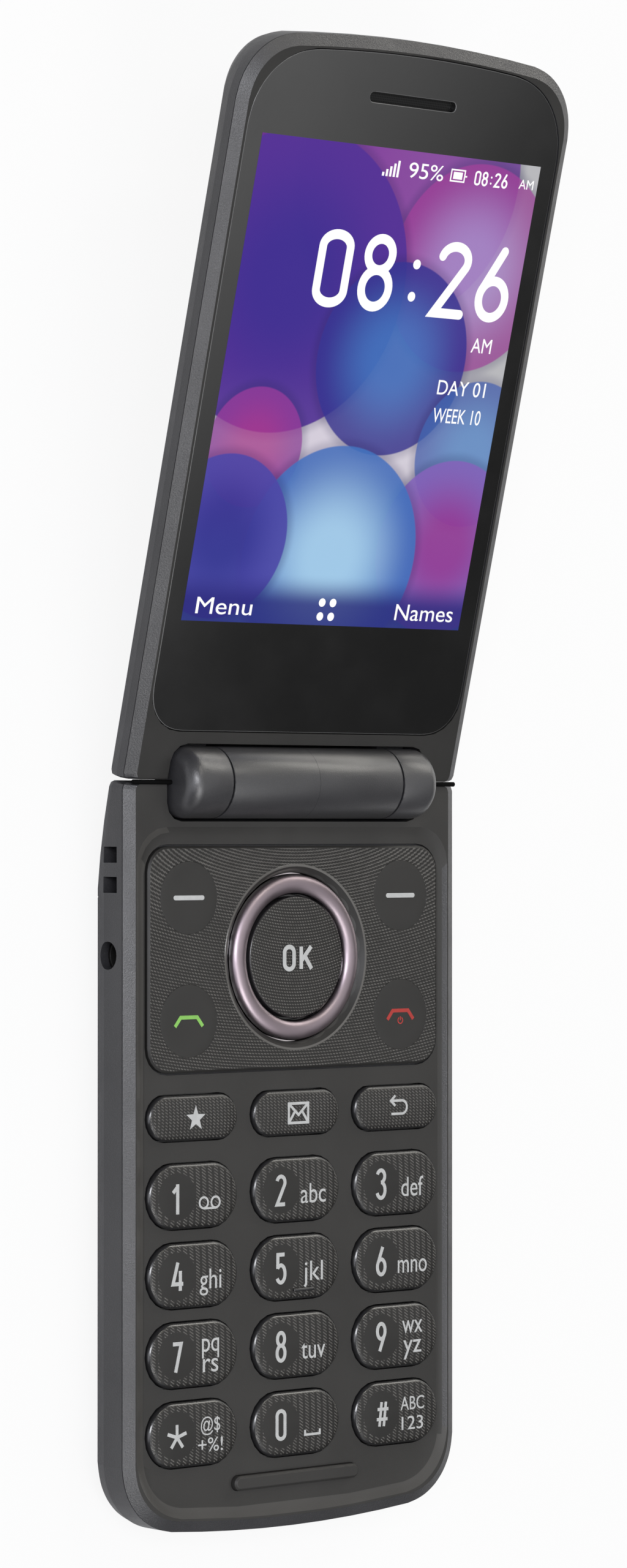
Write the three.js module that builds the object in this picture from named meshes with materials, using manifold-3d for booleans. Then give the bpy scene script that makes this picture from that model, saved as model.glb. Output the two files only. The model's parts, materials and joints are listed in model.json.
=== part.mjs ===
// Clamshell mobile phone, open at its hinge stop and lying on its back.
// Millimetres. +X is the keypad's right, +Y runs from the foot of the base to the hinge, and +Z is up, out of
// the keypad.
// The origin is on the flat back of the battery cover, under the middle of the base.
// Both halves are drawn in a frame of their own on the hinge axis: y is 0 at the axis and z is 0 at its
// height.
import * as THREE from "three";
import { mergeVertices } from "three/addons/utils/BufferGeometryUtils.js";
import Module from "manifold-3d";

const wasm = await Module();
wasm.setup();

// Overall sizes
const phoneWidth = 58;
const halfLength = 99.6; // from the hinge axis to the crown of either half
const baseDepth = 10.4; // from the ridge of the rim to the back
const lidDepth = 7.6;
const closedGap = 0.6; // between the two ridges when the phone is shut
const endGap = 0.22; // from the hinge axis to the end of either half at its ridge
const lidRise = 15; // degrees above flat at the open stop
const halfWidth = phoneWidth / 2;

// Outline of both halves
const cornerRadius = 9.1;
const crownRadius = 210;
const hingeCornerRadius = 0.8;

// Section of both cases
const edgeCurveWidth = 8; // at the sides
const baseCrownCurveWidth = 8.5; // at the far end
const lidCrownCurveWidth = 3;
const baseEdgeCurveDepth = 5.6;
const lidEdgeCurveDepth = 5.2;
const hingeEndCurve = 1.6;
const chamferWidth = 1.5;
const chamferDepth = 0.85;
const hingeEndChamfer = 0.05;
const partingGap = 0.15;
const taperLength = 14; // the base's back rises towards the hinge over this length
const taperRise = 4.1;
const taperExponent = 1.5; // how steadily it steepens
const taperStationShares = [0.36, 0.68, 1];
const wall = 1.3;
const skirtInset = 1.6; // the front housings step in to fit inside the walls
const hingeBlock = 7; // the front housings' end blocks reach this far from the hinge axis
const baseBlockBottom = 6.2;
const lidBlockBottom = 6.3;

// Hinge
const barrelRadius = 4.75;
const knuckleInset = 7.2; // from the side of the case to the end of a knuckle
const knuckleLength = 6.75;
const knuckleGap = 0.3; // between a knuckle and the barrel
const knuckleFillet = 2;
const recessClearance = 0.45; // round the barrel and the knuckles
const knuckleEnd = halfWidth - knuckleInset;
const knuckleStart = knuckleEnd - knuckleLength;
const barrelHalf = knuckleStart - knuckleGap; // half the length of the base's middle barrel
const webTop = 2.3; // the webs that carry barrel and knuckles start this far below the axis
const webBottom = 4.6;
const webReach = 6.4;
const hingeBore = 3.4;
const boreStart = 0.3; // half the partition in the middle of the barrel
const boreCap = 1.8; // left solid at a knuckle's end
const boreEnd = knuckleEnd - boreCap;
const cartridgeRadius = 3.3;
const cartridgeStart = 0.5;
const cartridgeEndInset = 0.35; // from the end of the barrel
const cartridgeEnd = barrelHalf - cartridgeEndInset;
const cartridgeWall = 0.5;
const shaftRadius = 1;
const shaftStart = 1.5;
const shaftClearance = 0.35;
const driveHeadRadius = 3.3;
const driveHeadGap = 0.1; // inside the knuckle's open end
const driveHeadEndGap = 0.2;
const driveHeadStart = knuckleStart + driveHeadGap;
const driveHeadEnd = boreEnd - driveHeadEndGap;
const camRadius = 2.3;
const camLength = 3.6;
const camEndInset = 1; // from the cartridge's end
const camEnd = cartridgeEnd - camEndInset;
const camStart = camEnd - camLength;
const bushingRadius = 3;
const bushingBore = 2.3;
const bushingLength = 13.6;
const bushingEndGap = 0.4;
const bushingEnd = boreEnd - bushingEndGap;
const bushingStart = bushingEnd - bushingLength;

// Keypad floor of the base
const floorDrop = 0.45; // below the ridge
const floorThickness = 1.2;
const floorInset = 3.1; // from the side of the case
const floorHalfWidth = halfWidth - floorInset;
const floorTop = 7.3; // from the hinge axis
const floorFootInset = 3.2;
const floorFoot = halfLength - floorFootInset;
const floorTopRadius = 5;
const floorFootRadius = 7;
const floorSlope = 1.4;

// Navigation panel and its keys
const panelMargin = 0.5; // from the panel to the side of the floor
const panelWidth = 2 * (floorHalfWidth - panelMargin);
const panelHeight = 29.85;
const panelTop = 8.43;
const panelRadius = 3.4;
const panelProud = 0.5; // above the keypad floor
const panelThickness = 1;
const panelEdge = 0.3;
const panelSeat = 0.08;
const panelClearance = 0.25;
const panelLedge = 1.3;
const ringY = panelTop + panelHeight / 2;
const ringOuterShare = 0.3752; // radii as shares of the panel's height
const ringInnerShare = 0.2831;
const okShare = 0.273;
const ringOuter = ringOuterShare * panelHeight;
const ringInner = ringInnerShare * panelHeight;
const okRadius = okShare * panelHeight;
const ringTop = 0.1;
const ringHoleBevel = 1;
const ringClearance = 0.25;
const ringFlange = 1; // beyond the ring
const ringFlangeRadius = ringOuter + ringFlange;
const ringFlangeTop = 1.6;
const ringFlangeBottom = 2;
const ringFootRadius = 0.8;
const ringFootX = ringOuter - ringFootRadius;
const okTop = 0.1; // below the hinge axis
const okFlange = 0.75;
const okFlangeTop = 2.42;
const okFlangeBottom = 2.7;
const discMargin = 2.1; // from a round key to the panel's two nearest edges
const discShare = 0.2391; // of the mean of the panel's height and the room beside the ring
const discRoom = panelWidth / 2 - ringOuter - ringClearance - ringHoleBevel;
const discRadius = discShare * Math.sqrt(discRoom * panelHeight);
const discX = panelWidth / 2 - discMargin - discRadius;
const softDiscY = panelTop + discMargin + discRadius;
const callDiscY = panelTop + panelHeight - discMargin - discRadius;
const discClearance = 0.12;

// Bumper bar at the foot of the keypad
const bumperWidth = 21.8;
const bumperHeight = 1.95;
const bumperInset = 6.55; // from the foot of the case
const bumperY = halfLength - bumperInset;
const bumperTop = 0.15;
const bumperSeat = 0.6; // depth of its groove
const bumperClearance = 0.08;

// Number and function keys
const numberRows = 4;
const columnCount = 3;
const columnGap = 2.64;
const columnMargin = 0.46; // from the outer keys to the edge of the floor
const rowGap = 1.87;
const functionRowGap = 3.03;
const functionKeyShare = 0.6966; // of a number key's height
const panelGap = 2.935; // from the navigation panel to the function keys
const bumperGap = 2.945; // from the last row to the middle of the bumper
const keyWidth = (2 * floorHalfWidth - 2 * columnMargin - (columnCount - 1) * columnGap) / columnCount;
const columnPitch = keyWidth + columnGap;
const keysStart = panelTop + panelHeight + panelGap;
const keysEnd = bumperY - bumperGap;
const keyGaps = functionRowGap + (numberRows - 1) * rowGap;
const keyHeight = (keysEnd - keysStart - keyGaps) / (numberRows + functionKeyShare);
const functionKeyHeight = functionKeyShare * keyHeight;
const rowPitch = keyHeight + rowGap;
const functionRow = keysStart + functionKeyHeight / 2;
const numberRow = keysStart + functionKeyHeight + functionRowGap + keyHeight / 2;
const keyProud = 0.9; // above the keypad floor
const keyCrown = 0.12;
const keyEdge = 0.7;
const keyClearance = 0.2;
const flangeWidth = 0.5;
const flangeThickness = 0.5;
const flangeGap = 0.15;
const plungerRadius = 1.5;
const plungerEnd = 2.75; // below the hinge axis
const plungerGap = 0.4; // down to the key's nub on the mat

// Inside the base
const matTop = 3.45;
const matThickness = 0.3;
const matInset = 1.7; // from the side of the floor
const matHalfWidth = floorHalfWidth - matInset;
const matStart = 9.2;
const matFootInset = 8.2;
const matFoot = halfLength - matFootInset;
const matRadius = 2;
const nubRadius = 1.7;
const boardTop = 3.85;
const boardThickness = 0.8;
const boardInset = 3.6;
const boardHalfWidth = halfWidth - boardInset;
const boardStart = 7.6;
const boardFootInset = 3.2;
const boardFoot = halfLength - boardFootInset;
const boardRadius = 5;
const midFloorTop = 6.6;
const midFloorBottom = 7.2;
const coverSeam = 0.15;
const coverStart = 15; // hinge axis to the battery cover
const coverWall = 1;
const bulkheadThickness = 1;
const chamberWall = 0.9;
const chamberCeiling = 0.55;
const batteryThickness = 4;
const batterySideGap = 3.8; // to the upper screws
const batteryFootGap = 2.5; // to the loudspeaker
const batteryStart = 30.5;
const batteryGap = 0.15; // over the cover and under the chamber's ceiling
const batteryClearance = 0.4;
const batteryRadius = 1.5;
const stackGap = 0.15; // between a board and what hangs under it
const podInset = 15.1; // loudspeaker, vibration motor and card socket stand in a row this far from the foot
const podY = halfLength - podInset;
const speakerWidth = 15;
const speakerLength = 11;
const speakerRadius = 3;
const speakerWindow = 0.4; // clearance round it in the middle floor
const speakerGap = 0.25; // over the cover
const motorRadius = 4.6;
const motorInset = 14.4; // from the side of the case
const motorX = halfWidth - motorInset;
const cardLength = 11;
const cardGap = 1.8; // to the loudspeaker
const cardInset = 6.7; // from the side of the case
const cardStart = speakerWidth / 2 + cardGap;
const cardEnd = halfWidth - cardInset;
const podHeight = 1.6;
const podRadius = 0.6;
const slotCount = 5;
const slotLength = 9;
const slotWidth = 0.9;
const slotPitch = 1.9;
const screwHeadRadius = 1.7;
const screwHeadHeight = 0.8;
const screwHeadGap = 0.05;
const screwRadius = 0.8;
const screwTop = 3;
const bossRadius = 1.5;
const bossBore = 0.95;
const bossBoreTop = 2.6;
const bossBottom = 6.45;
const bossClearance = 0.3;
const upperScrewInset = 5.5; // from the side of the case
const upperScrewDrop = 0.42; // below the foot of the navigation panel
const lowerScrewInset = 10;
const lowerScrewFootInset = 7;
const upperScrewX = halfWidth - upperScrewInset;
const upperScrewY = panelTop + panelHeight + upperScrewDrop;
const lowerScrewX = halfWidth - lowerScrewInset;
const lowerScrewY = halfLength - lowerScrewFootInset;
const batteryWidth = 2 * (upperScrewX - screwHeadRadius - batterySideGap);
const batteryLength = podY - speakerLength / 2 - batteryFootGap - batteryStart;

// Sockets and controls in the base's sides
const jackY = 22.75;
const jackZ = 4.3;
const jackHole = 1.85; // through the wall
const jackRadius = 2.2;
const jackBore = 1.75;
const jackInset = 1.8; // stands clear of the wall's inner curve
const jackLength = 10.6;
const jackFloor = 0.8;
const strapY = 11.5; // middle of the strap bar
const strapZ = 3.85;
const strapBar = 1.85;
const strapBarDepth = 1.3;
const strapHoleWidth = 2.1;
const strapHoleHeight = 2.9;
const strapDepth = 3.6;
const strapWall = 1.1;
const strapRoof = 0.3;
const portWidth = 7.6;
const portHeight = 2.6;
const portDepth = 5.4;
const portZ = 4.25;
const portInset = 0.6;
const portSheet = 0.3;
const portClearance = 0.2;
const portRadius = 0.5;
const tongueHalf = 1.8;
const tongueThickness = 0.6;
const micWidth = 3.2;
const micLength = 2.4;
const micHeight = 1.1;
const micX = 10;
const micFootInset = 4.5;
const micY = halfLength - micFootInset;
const micHole = 0.5;
const volumeY = 24;
const volumeZ = 4.25;
const volumeLength = 16;
const volumeHeight = 2.6;
const volumeProud = 0.5;
const volumeEdge = 0.3;
const volumeClearance = 0.25;
const volumeFlange = 0.7;
const volumeFlangeGap = 0.5;
const volumeFlangeThickness = 0.6;

// Lid front
const lensInset = 1.97; // from the side of the case
const lensCrownInset = 1.9;
const lensHinge = 6.86; // hinge axis to the lens's lower edge
const lensHingeRadius = 5.4;
const lensCornerRadius = 10.4;
const lensHalfWidth = halfWidth - lensInset;
const lensCrown = halfLength - lensCrownInset;
const lensThickness = 0.9;
const lensDrop = 0.1; // below the ridge
const lensClearance = 0.12;
const lensSeat = 0.08;
const lidSkirtBottom = 2.3;
const earSlotWidth = 15;
const earSlotHeight = 1.35;
const earSlotInset = 5.85; // from the lens's crown
const earSlotY = lensCrown - earSlotInset;
const meshMargin = 0.7;
const meshThickness = 0.2;
const meshGap = 0.03;
const displayStart = 17.6;
const displayInset = 1.33; // from the side of the lens
const displayEarGap = 4.65; // to the middle of the earpiece slot
const displayWidth = 2 * (lensHalfWidth - displayInset);
const displayLength = earSlotY - displayEarGap - displayStart;
const displayThickness = 2.2;
const displayClearance = 0.3;
const displayRadius = 0.8;

// Inside the lid and its outer cover
const lidWall = 1.2;
const lidBoardStart = 20;
const lidBoardInset = 7; // from the side of the case
const lidBoardEarGap = 3.85; // to the middle of the earpiece slot
const lidBoardWidth = 2 * (halfWidth - lidBoardInset);
const lidBoardLength = earSlotY - lidBoardEarGap - lidBoardStart;
const lidBoardThickness = 0.7;
const lidBoardRadius = 3;
const outerLensInset = 10; // from the side of the case
const outerLensWidth = 2 * (halfWidth - outerLensInset);
const outerLensLength = 34;
const outerLensGap = 3.8; // to the camera ring
const outerLensRadius = 4;
const outerLensThickness = 0.7;
const outerLensClearance = 0.12;
const outerLensLedge = 1.4;
const outerDisplayMargin = 2.5; // inside the outer lens
const outerDisplayWidth = outerLensWidth - 2 * outerDisplayMargin;
const outerDisplayLength = outerLensLength - 2 * outerDisplayMargin;
const cameraEarGap = 8.45; // to the middle of the earpiece slot
const cameraY = earSlotY - cameraEarGap;
const cameraRadius = 3.1;
const cameraShoulder = 0.7;
const cameraNose = 1.9;
const cameraRingOuter = 4.6;
const cameraRingInner = 3.2;
const outerLensY = cameraY - cameraRingOuter - outerLensGap - outerLensLength / 2;
const cameraRingProud = 0.3;
const cameraRingEdge = 0.25;
const cameraRingDepth = 1;
const cameraLip = 0.6;
const cameraLipDepth = 0.35;
const cameraGlassThickness = 0.5;
const cameraGlassInset = 0.15;
const cameraClearance = 0.1;
const earpieceWidth = 13;
const earpieceLength = 6;
const earpieceThickness = 2.6;
const earpieceRadius = 2.6;
const magnetInset = 11.5; // from the side of the case
const magnetEarDrop = 0.65; // below the middle of the earpiece slot
const magnetX = halfWidth - magnetInset;
const magnetY = earSlotY - magnetEarDrop;
const magnetRadius = 2.4;
const magnetThickness = 1.6;

// Working values
const overrun = 2; // how far a cutting tool runs past what it cuts
const tiny = 1e-6; // shorter than this is rounding noise
const nearSteps = 2;
const cornerSteps = 6;
const crownSteps = 4;
const curveSteps = 5;
const roundSides = 32;
const smallSides = 12;
const ridge = -closedGap / 2;
const parting = ridge - chamferDepth;
const rimTop = parting - partingGap;
const baseBack = ridge - baseDepth;
const lidBack = ridge - lidDepth;
const floor = ridge - floorDrop;
const floorUnder = floor - floorThickness;
const recessRadius = barrelRadius + recessClearance;
const recessEnd = knuckleEnd + recessClearance;
const taperStations = taperStationShares.map((share) => share * taperLength);
const panelFace = floor + panelProud;
const panelUnder = panelFace - panelThickness;
const panelY = -panelTop - panelHeight / 2;
const keyFace = floor + keyProud;
const nubTop = -plungerEnd - plungerGap;
const boardUnder = -boardTop - boardThickness;
const coverFloor = baseBack + coverWall;
const batteryTop = coverFloor + batteryGap + batteryThickness;
const lensTop = ridge - lensDrop;
const lensUnder = lensTop - lensThickness;
const lensFloor = lensUnder - lensSeat;
const displayTop = lensUnder - lensSeat;
const lidBoardTop = displayTop - displayThickness - stackGap;
const lidBoardUnder = lidBoardTop - lidBoardThickness;

// Solids and cuts
function solid(geometry) {
  const bare = new THREE.BufferGeometry().setAttribute("position", geometry.getAttribute("position"));
  if (geometry.index) bare.setIndex(geometry.index);
  const merged = mergeVertices(bare);
  const corners = merged.index.array;
  const kept = [];
  for (let i = 0; i < corners.length; i += 3) {
    const [a, b, c] = corners.slice(i, i + 3);
    if (a !== b && b !== c && c !== a) kept.push(a, b, c);
  }
  const vertProperties = merged.attributes.position.array;
  return new wasm.Manifold(new wasm.Mesh({ numProp: 3, vertProperties, triVerts: new Uint32Array(kept) }));
}

function geometryOf(body) {
  const mesh = body.getMesh();
  const made = new THREE.BufferGeometry();
  made.setAttribute("position", new THREE.BufferAttribute(mesh.vertProperties, mesh.numProp));
  made.setIndex(new THREE.BufferAttribute(mesh.triVerts, 1));
  const flat = made.toNonIndexed();
  flat.computeVertexNormals();
  return flat;
}

const join = (first, ...others) => others.reduce((body, other) => body.add(other), first);
const cut = (first, ...others) => others.reduce((body, other) => body.subtract(other), first);

// A box between two values on each axis
function block([x0, x1], [y0, y1], [z0, z1]) {
  const box = new THREE.BoxGeometry(x1 - x0, y1 - y0, z1 - z0);
  return solid(box.translate((x0 + x1) / 2, (y0 + y1) / 2, (z0 + z1) / 2));
}

// A cylinder along Z or along X
function drum(radius, x, y, [z0, z1], sides = smallSides) {
  const shape = new THREE.CylinderGeometry(radius, radius, z1 - z0, sides).rotateX(Math.PI / 2);
  return solid(shape.translate(x, y, (z0 + z1) / 2));
}

function crossDrum(radius, [x0, x1], y, z, sides = roundSides) {
  const shape = new THREE.CylinderGeometry(radius, radius, x1 - x0, sides).rotateZ(Math.PI / 2);
  return solid(shape.translate((x0 + x1) / 2, y, z));
}

// A revolved profile: pairs of radius and height, turned about Z, or about X with heights along +X
function turned(profile, sides = roundSides) {
  const points = profile.map(([radius, height]) => new THREE.Vector2(radius, height));
  return new THREE.LatheGeometry(points, sides);
}

const turnedUp = (profile, x, y, sides) =>
  solid(turned(profile, sides).rotateX(Math.PI / 2).translate(x, y, 0));
const turnedAcross = (profile, sides) => solid(turned(profile, sides).rotateZ(-Math.PI / 2));

// A closed skin through rings that mirror in x. Each ring is a height and the x >= 0 half of its outline,
// from one end in y to the other. bend moves a point's height.
const level = (y, z) => z;
function loft(rings, bend = level) {
  const positions = [];
  const index = [];
  const first = rings[0].half;
  const flip = first[0][1] < first[first.length - 1][1];
  const triangle = (a, b, c) => {
    if (a === b || b === c || c === a) return;
    if (flip) index.push(a, c, b);
    else index.push(a, b, c);
  };
  const placed = rings.map(({ z, half }) => {
    const place = (x, y) => positions.push(x, y, bend(y, z)) / 3 - 1;
    const right = half.map(([x, y]) => place(x, y));
    const left = half.map(([x, y], i) => (x < tiny ? right[i] : place(-x, y)));
    return { right, left, loop: [...right, ...left.slice().reverse()] };
  });
  for (let ring = 1; ring < placed.length; ring += 1) {
    const low = placed[ring - 1].loop;
    const high = placed[ring].loop;
    low.forEach((a, i) => {
      const j = (i + 1) % low.length;
      if (a === low[j]) return;
      triangle(a, high[j], low[j]);
      triangle(a, high[i], high[j]);
    });
  }
  const cap = ({ right, left }, up) => {
    for (let i = 0; i + 1 < right.length; i += 1) {
      const corners = [[left[i], left[i + 1], right[i + 1]], [left[i], right[i + 1], right[i]]];
      corners.forEach(([a, b, c]) => (up ? triangle(a, b, c) : triangle(a, c, b)));
    }
  };
  cap(placed[0], false);
  cap(placed[placed.length - 1], true);
  const made = new THREE.BufferGeometry();
  made.setAttribute("position", new THREE.Float32BufferAttribute(positions, 3));
  return solid(made.setIndex(index));
}

// Points of an arc about (x, y), from one angle to another
function arc(x, y, radius, from, to, steps) {
  return Array.from({ length: steps + 1 }, (_, i) => {
    const angle = from + ((to - from) * i) / steps;
    return [x + radius * Math.cos(angle), y + radius * Math.sin(angle)];
  });
}

const quarter = Math.PI / 2;

// Half outline with a crowned far end: a straight side, a corner and the crown, drawn towards side * y
function crownedHalf({ half, near, far, nearRadius, corner, crown, side, stations = [], steps = nearSteps }) {
  const crownY = far - crown;
  const run = half - corner;
  const cornerY = crownY + Math.sqrt((crown - corner) ** 2 - run ** 2);
  const lean = Math.asin(run / (crown - corner));
  const crownArc = arc(0, crownY, crown, quarter - lean, quarter, crownSteps).slice(1);
  crownArc[crownArc.length - 1][0] = 0;
  const points = [
    ...arc(half - nearRadius, near + nearRadius, nearRadius, -quarter, 0, steps),
    ...stations.map((y) => [half, y]),
    ...arc(run, cornerY, corner, 0, quarter - lean, cornerSteps),
    ...crownArc,
  ];
  return points.map(([x, y]) => [x, side * y]);
}

// Where either half ends beside the hinge: the two end faces lean, so they stand parallel at the open stop
const endAt = (z) => endGap - Math.tan(THREE.MathUtils.degToRad(lidRise / 2)) * (ridge - z);

// Outline of either half of the phone, drawn in by an inset at the sides and another at the crown
function caseHalf(side, inset, near, crownInset = inset) {
  return crownedHalf({
    half: halfWidth - inset,
    near,
    far: halfLength - crownInset,
    nearRadius: hingeCornerRadius,
    corner: cornerRadius - inset,
    crown: crownRadius - crownInset,
    side,
    stations: side < 0 ? taperStations : [],
  });
}

// Half outline of a rectangle with rounded corners, or of a pill or circle
function roundedHalf(width, height, radius, y = 0, steps = cornerSteps) {
  const x = Math.max(width / 2 - radius, 0);
  const top = height / 2 - radius;
  const upper = arc(x, top, radius, quarter, 0, steps);
  const lower = arc(x, -top, radius, 0, -quarter, steps);
  const points = top > tiny ? [...upper, ...lower] : [...upper, ...lower.slice(1)];
  return points.map(([px, py], i) => {
    const end = i === 0 || i === points.length - 1;
    return [end ? x : px, y + py];
  });
}

const plate = (half, [z0, z1]) => loft([{ z: z0, half }, { z: z1, half }]);

// Rings of a case's outer skin, or of its inside at a wall's thickness, from the back up to a top height.
// bend says how high a ring ends up beside the hinge.
function caseRings({ side, back, curveDepth, crownCurveWidth, bend }, thickness, top) {
  const drawn = (curveWidth, share) => thickness + (curveWidth - thickness) * share;
  const depth = curveDepth - thickness;
  const ring = (z, drawnIn) => {
    const near = endAt(bend(0, z)) + thickness + hingeEndCurve * drawnIn;
    return { z, half: caseHalf(side, drawn(edgeCurveWidth, drawnIn), near, drawn(crownCurveWidth, drawnIn)) };
  };
  const curve = Array.from({ length: curveSteps + 1 }, (_, i) => {
    const angle = (quarter * i) / curveSteps;
    return ring(back + thickness + depth * (1 - Math.cos(angle)), 1 - Math.sin(angle));
  });
  return [...curve, ring(top, 0)];
}

// The base's back rises towards the hinge, pivoting on the top of its rim
const taper = (y, z) => {
  const share = Math.min(Math.max((y + taperLength) / (taperLength - endGap), 0), 1);
  return z + (taperRise * share ** taperExponent * (rimTop - z)) / (rimTop - baseBack);
};

const caseBody = (section) => (thickness, top) => loft(caseRings(section, thickness, top), section.bend);
const baseCase = caseBody({
  side: -1,
  back: baseBack,
  curveDepth: baseEdgeCurveDepth,
  crownCurveWidth: baseCrownCurveWidth,
  bend: taper,
});
const lidCase = caseBody({
  side: 1,
  back: lidBack,
  curveDepth: lidEdgeCurveDepth,
  crownCurveWidth: lidCrownCurveWidth,
  bend: level,
});

// The rim of either front housing: a step that fits inside the walls, then a chamfer up to the ridge
const rim = (side, under) => loft([
  { z: under, half: caseHalf(side, skirtInset, endAt(under) + skirtInset) },
  { z: parting, half: caseHalf(side, skirtInset, endAt(parting) + skirtInset) },
  { z: parting, half: caseHalf(side, 0, endAt(parting)) },
  { z: ridge, half: caseHalf(side, chamferWidth, endGap + hingeEndChamfer) },
]);

// Everything within this turned shape on the hinge axis is left to the barrel and the knuckles
const recessFillet = knuckleFillet + recessClearance;
const filletSteps = nearSteps + 1;
const recessCap =
  arc(recessRadius - recessFillet, recessEnd - recessFillet, recessFillet, 0, quarter, filletSteps);
const recess = turnedAcross([
  [0, -recessEnd],
  ...recessCap.map(([radius, x]) => [radius, -x]).reverse(),
  ...recessCap,
  [0, recessEnd],
], roundSides);
const acrossCase = [-halfWidth, halfWidth];

// Groups and meshes
const phone = new THREE.Group();
const base = new THREE.Group();
const lid = new THREE.Group();
phone.add(base, lid);
const hingeY = halfLength / 2;
const hingeZ = -baseBack;
base.position.set(0, hingeY, hingeZ);
lid.position.copy(base.position);
lid.rotation.x = THREE.MathUtils.degToRad(lidRise);

const finish = (color, roughness, metalness = 0) => ({ color, roughness, metalness });
const finishes = {
  case: finish(0x3a393b, 0.55),
  key: finish(0x333234, 0.5),
  panel: finish(0x38373a, 0.5),
  ring: finish(0x8d7f88, 0.3, 1),
  lens: finish(0x0c0c0e, 0.08),
  glass: finish(0x111114, 0.05),
  display: finish(0x3a3aa0, 0.3),
  board: finish(0x1f5a38, 0.6),
  battery: finish(0x9a9ca0, 0.5, 0.6),
  steel: finish(0xb0b2b6, 0.35, 1),
  rubber: finish(0x2a2a2c, 0.8),
  dark: finish(0x161618, 0.6),
};

function part(group, name, body, look) {
  const mesh = new THREE.Mesh(geometryOf(body), new THREE.MeshStandardMaterial(finishes[look]));
  mesh.name = name;
  group.add(mesh);
  return mesh;
}

// Keys: each is a cap that stands through its aperture, a flange that keeps it in and a plunger over its nub
const pill = (width, height, y) => (grow) =>
  roundedHalf(width + 2 * grow, height + 2 * grow, height / 2 + grow, y, curveSteps);
const round = (radius, y) => (grow) =>
  roundedHalf(2 * (radius + grow), 2 * (radius + grow), radius + grow, y);
const plunger = (x, y, top) => drum(plungerRadius, x, y, [-plungerEnd, top]);

const columns = [-columnPitch, 0, columnPitch];
const numberNames = [
  ["key_1", "key_2", "key_3"],
  ["key_4", "key_5", "key_6"],
  ["key_7", "key_8", "key_9"],
  ["key_star", "key_0", "key_hash"],
];
const keyRows = [
  { y: -functionRow, height: functionKeyHeight, names: ["favourite_key", "message_key", "back_key"] },
  ...numberNames.map((names, i) => ({ y: -numberRow - i * rowPitch, height: keyHeight, names })),
];
const keySites = keyRows.flatMap(({ y, height, names }) =>
  names.map((name, i) => ({ name, x: columns[i], y, at: pill(keyWidth, height, y) })));
const discSites = [
  { name: "soft_key_left", x: -discX, y: -softDiscY },
  { name: "soft_key_right", x: discX, y: -softDiscY },
  { name: "call_key", x: -discX, y: -callDiscY },
  { name: "end_key", x: discX, y: -callDiscY },
].map((site) => ({ ...site, at: round(discRadius, site.y) }));
const ringFeet = [[ringFootX, 0], [-ringFootX, 0], [0, ringFootX], [0, -ringFootX]]
  .map(([x, y]) => ({ x, y: y - ringY }));
const screwSites = {
  screw_upper_left: [-upperScrewX, -upperScrewY],
  screw_upper_right: [upperScrewX, -upperScrewY],
  screw_lower_left: [-lowerScrewX, -lowerScrewY],
  screw_lower_right: [lowerScrewX, -lowerScrewY],
};
const atScrews = (radius, height) =>
  Object.values(screwSites).map(([x, y]) => drum(radius, x, y, height));

function flange(at, under) {
  return [
    { z: under - flangeGap - flangeThickness, half: at(flangeWidth) },
    { z: under - flangeGap, half: at(flangeWidth) },
    { z: under - flangeGap, half: at(0) },
  ];
}

function keypadKey({ x, y, at }) {
  const cap = loft([
    ...flange(at, floorUnder),
    { z: keyFace - keyCrown - keyEdge / 2, half: at(0) },
    { z: keyFace - keyCrown - keyEdge / 8, half: at(-keyEdge / 3) },
    { z: keyFace - keyCrown / 2, half: at(-keyEdge) },
    { z: keyFace, half: at(-2 * keyEdge) },
  ]);
  return join(cap.translate([x, 0, 0]), plunger(x, y, floor));
}

function discKey({ x, y, at }) {
  const cap = loft([...flange(at, panelUnder), { z: panelFace, half: at(0) }]);
  return join(cap.translate([x, 0, 0]), plunger(x, y, panelUnder));
}

function okKey() {
  const at = round(okRadius, -ringY);
  const cap = loft([
    { z: -okFlangeBottom, half: at(okFlange) },
    { z: -okFlangeTop, half: at(okFlange) },
    { z: -okFlangeTop, half: at(0) },
    { z: -okTop - panelEdge, half: at(0) },
    { z: -okTop, half: at(-panelEdge) },
  ]);
  return join(cap, plunger(0, -ringY, -okTop - panelEdge));
}

// The ring's section is a round-topped bead over a thin flange that the panel keeps in
function navRing() {
  const half = (ringOuter - ringInner) / 2;
  const bead = arc(ringInner + half, ringTop - half, half, 0, Math.PI, cornerSteps);
  const section = [
    ...bead,
    [ringInner, -ringFlangeBottom],
    [ringFlangeRadius, -ringFlangeBottom],
    [ringFlangeRadius, -ringFlangeTop],
    [ringOuter, -ringFlangeTop],
    bead[0],
  ];
  const ring = turnedUp(section, 0, -ringY, roundSides + smallSides);
  return join(ring, ...ringFeet.map(({ x, y }) => drum(ringFootRadius, x, y, [-plungerEnd, -ringFlangeTop])));
}

// Volume key: a long pill in the right wall with its flange inside, rocking about its middle
const volumeAt = (grow) =>
  roundedHalf(volumeHeight + 2 * grow, volumeLength + 2 * grow, volumeHeight / 2 + grow, 0, curveSteps);
const besideWall = (body) =>
  body.rotate([0, THREE.MathUtils.radToDeg(quarter), 0]).translate([0, -volumeY, -volumeZ]);

function volumeKey() {
  const inside = halfWidth - wall - volumeFlangeGap;
  return besideWall(loft([
    { z: inside - volumeFlangeThickness, half: volumeAt(volumeFlange) },
    { z: inside, half: volumeAt(volumeFlange) },
    { z: inside, half: volumeAt(0) },
    { z: halfWidth + volumeProud - volumeEdge, half: volumeAt(0) },
    { z: halfWidth + volumeProud, half: volumeAt(-volumeEdge) },
  ]));
}

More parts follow.
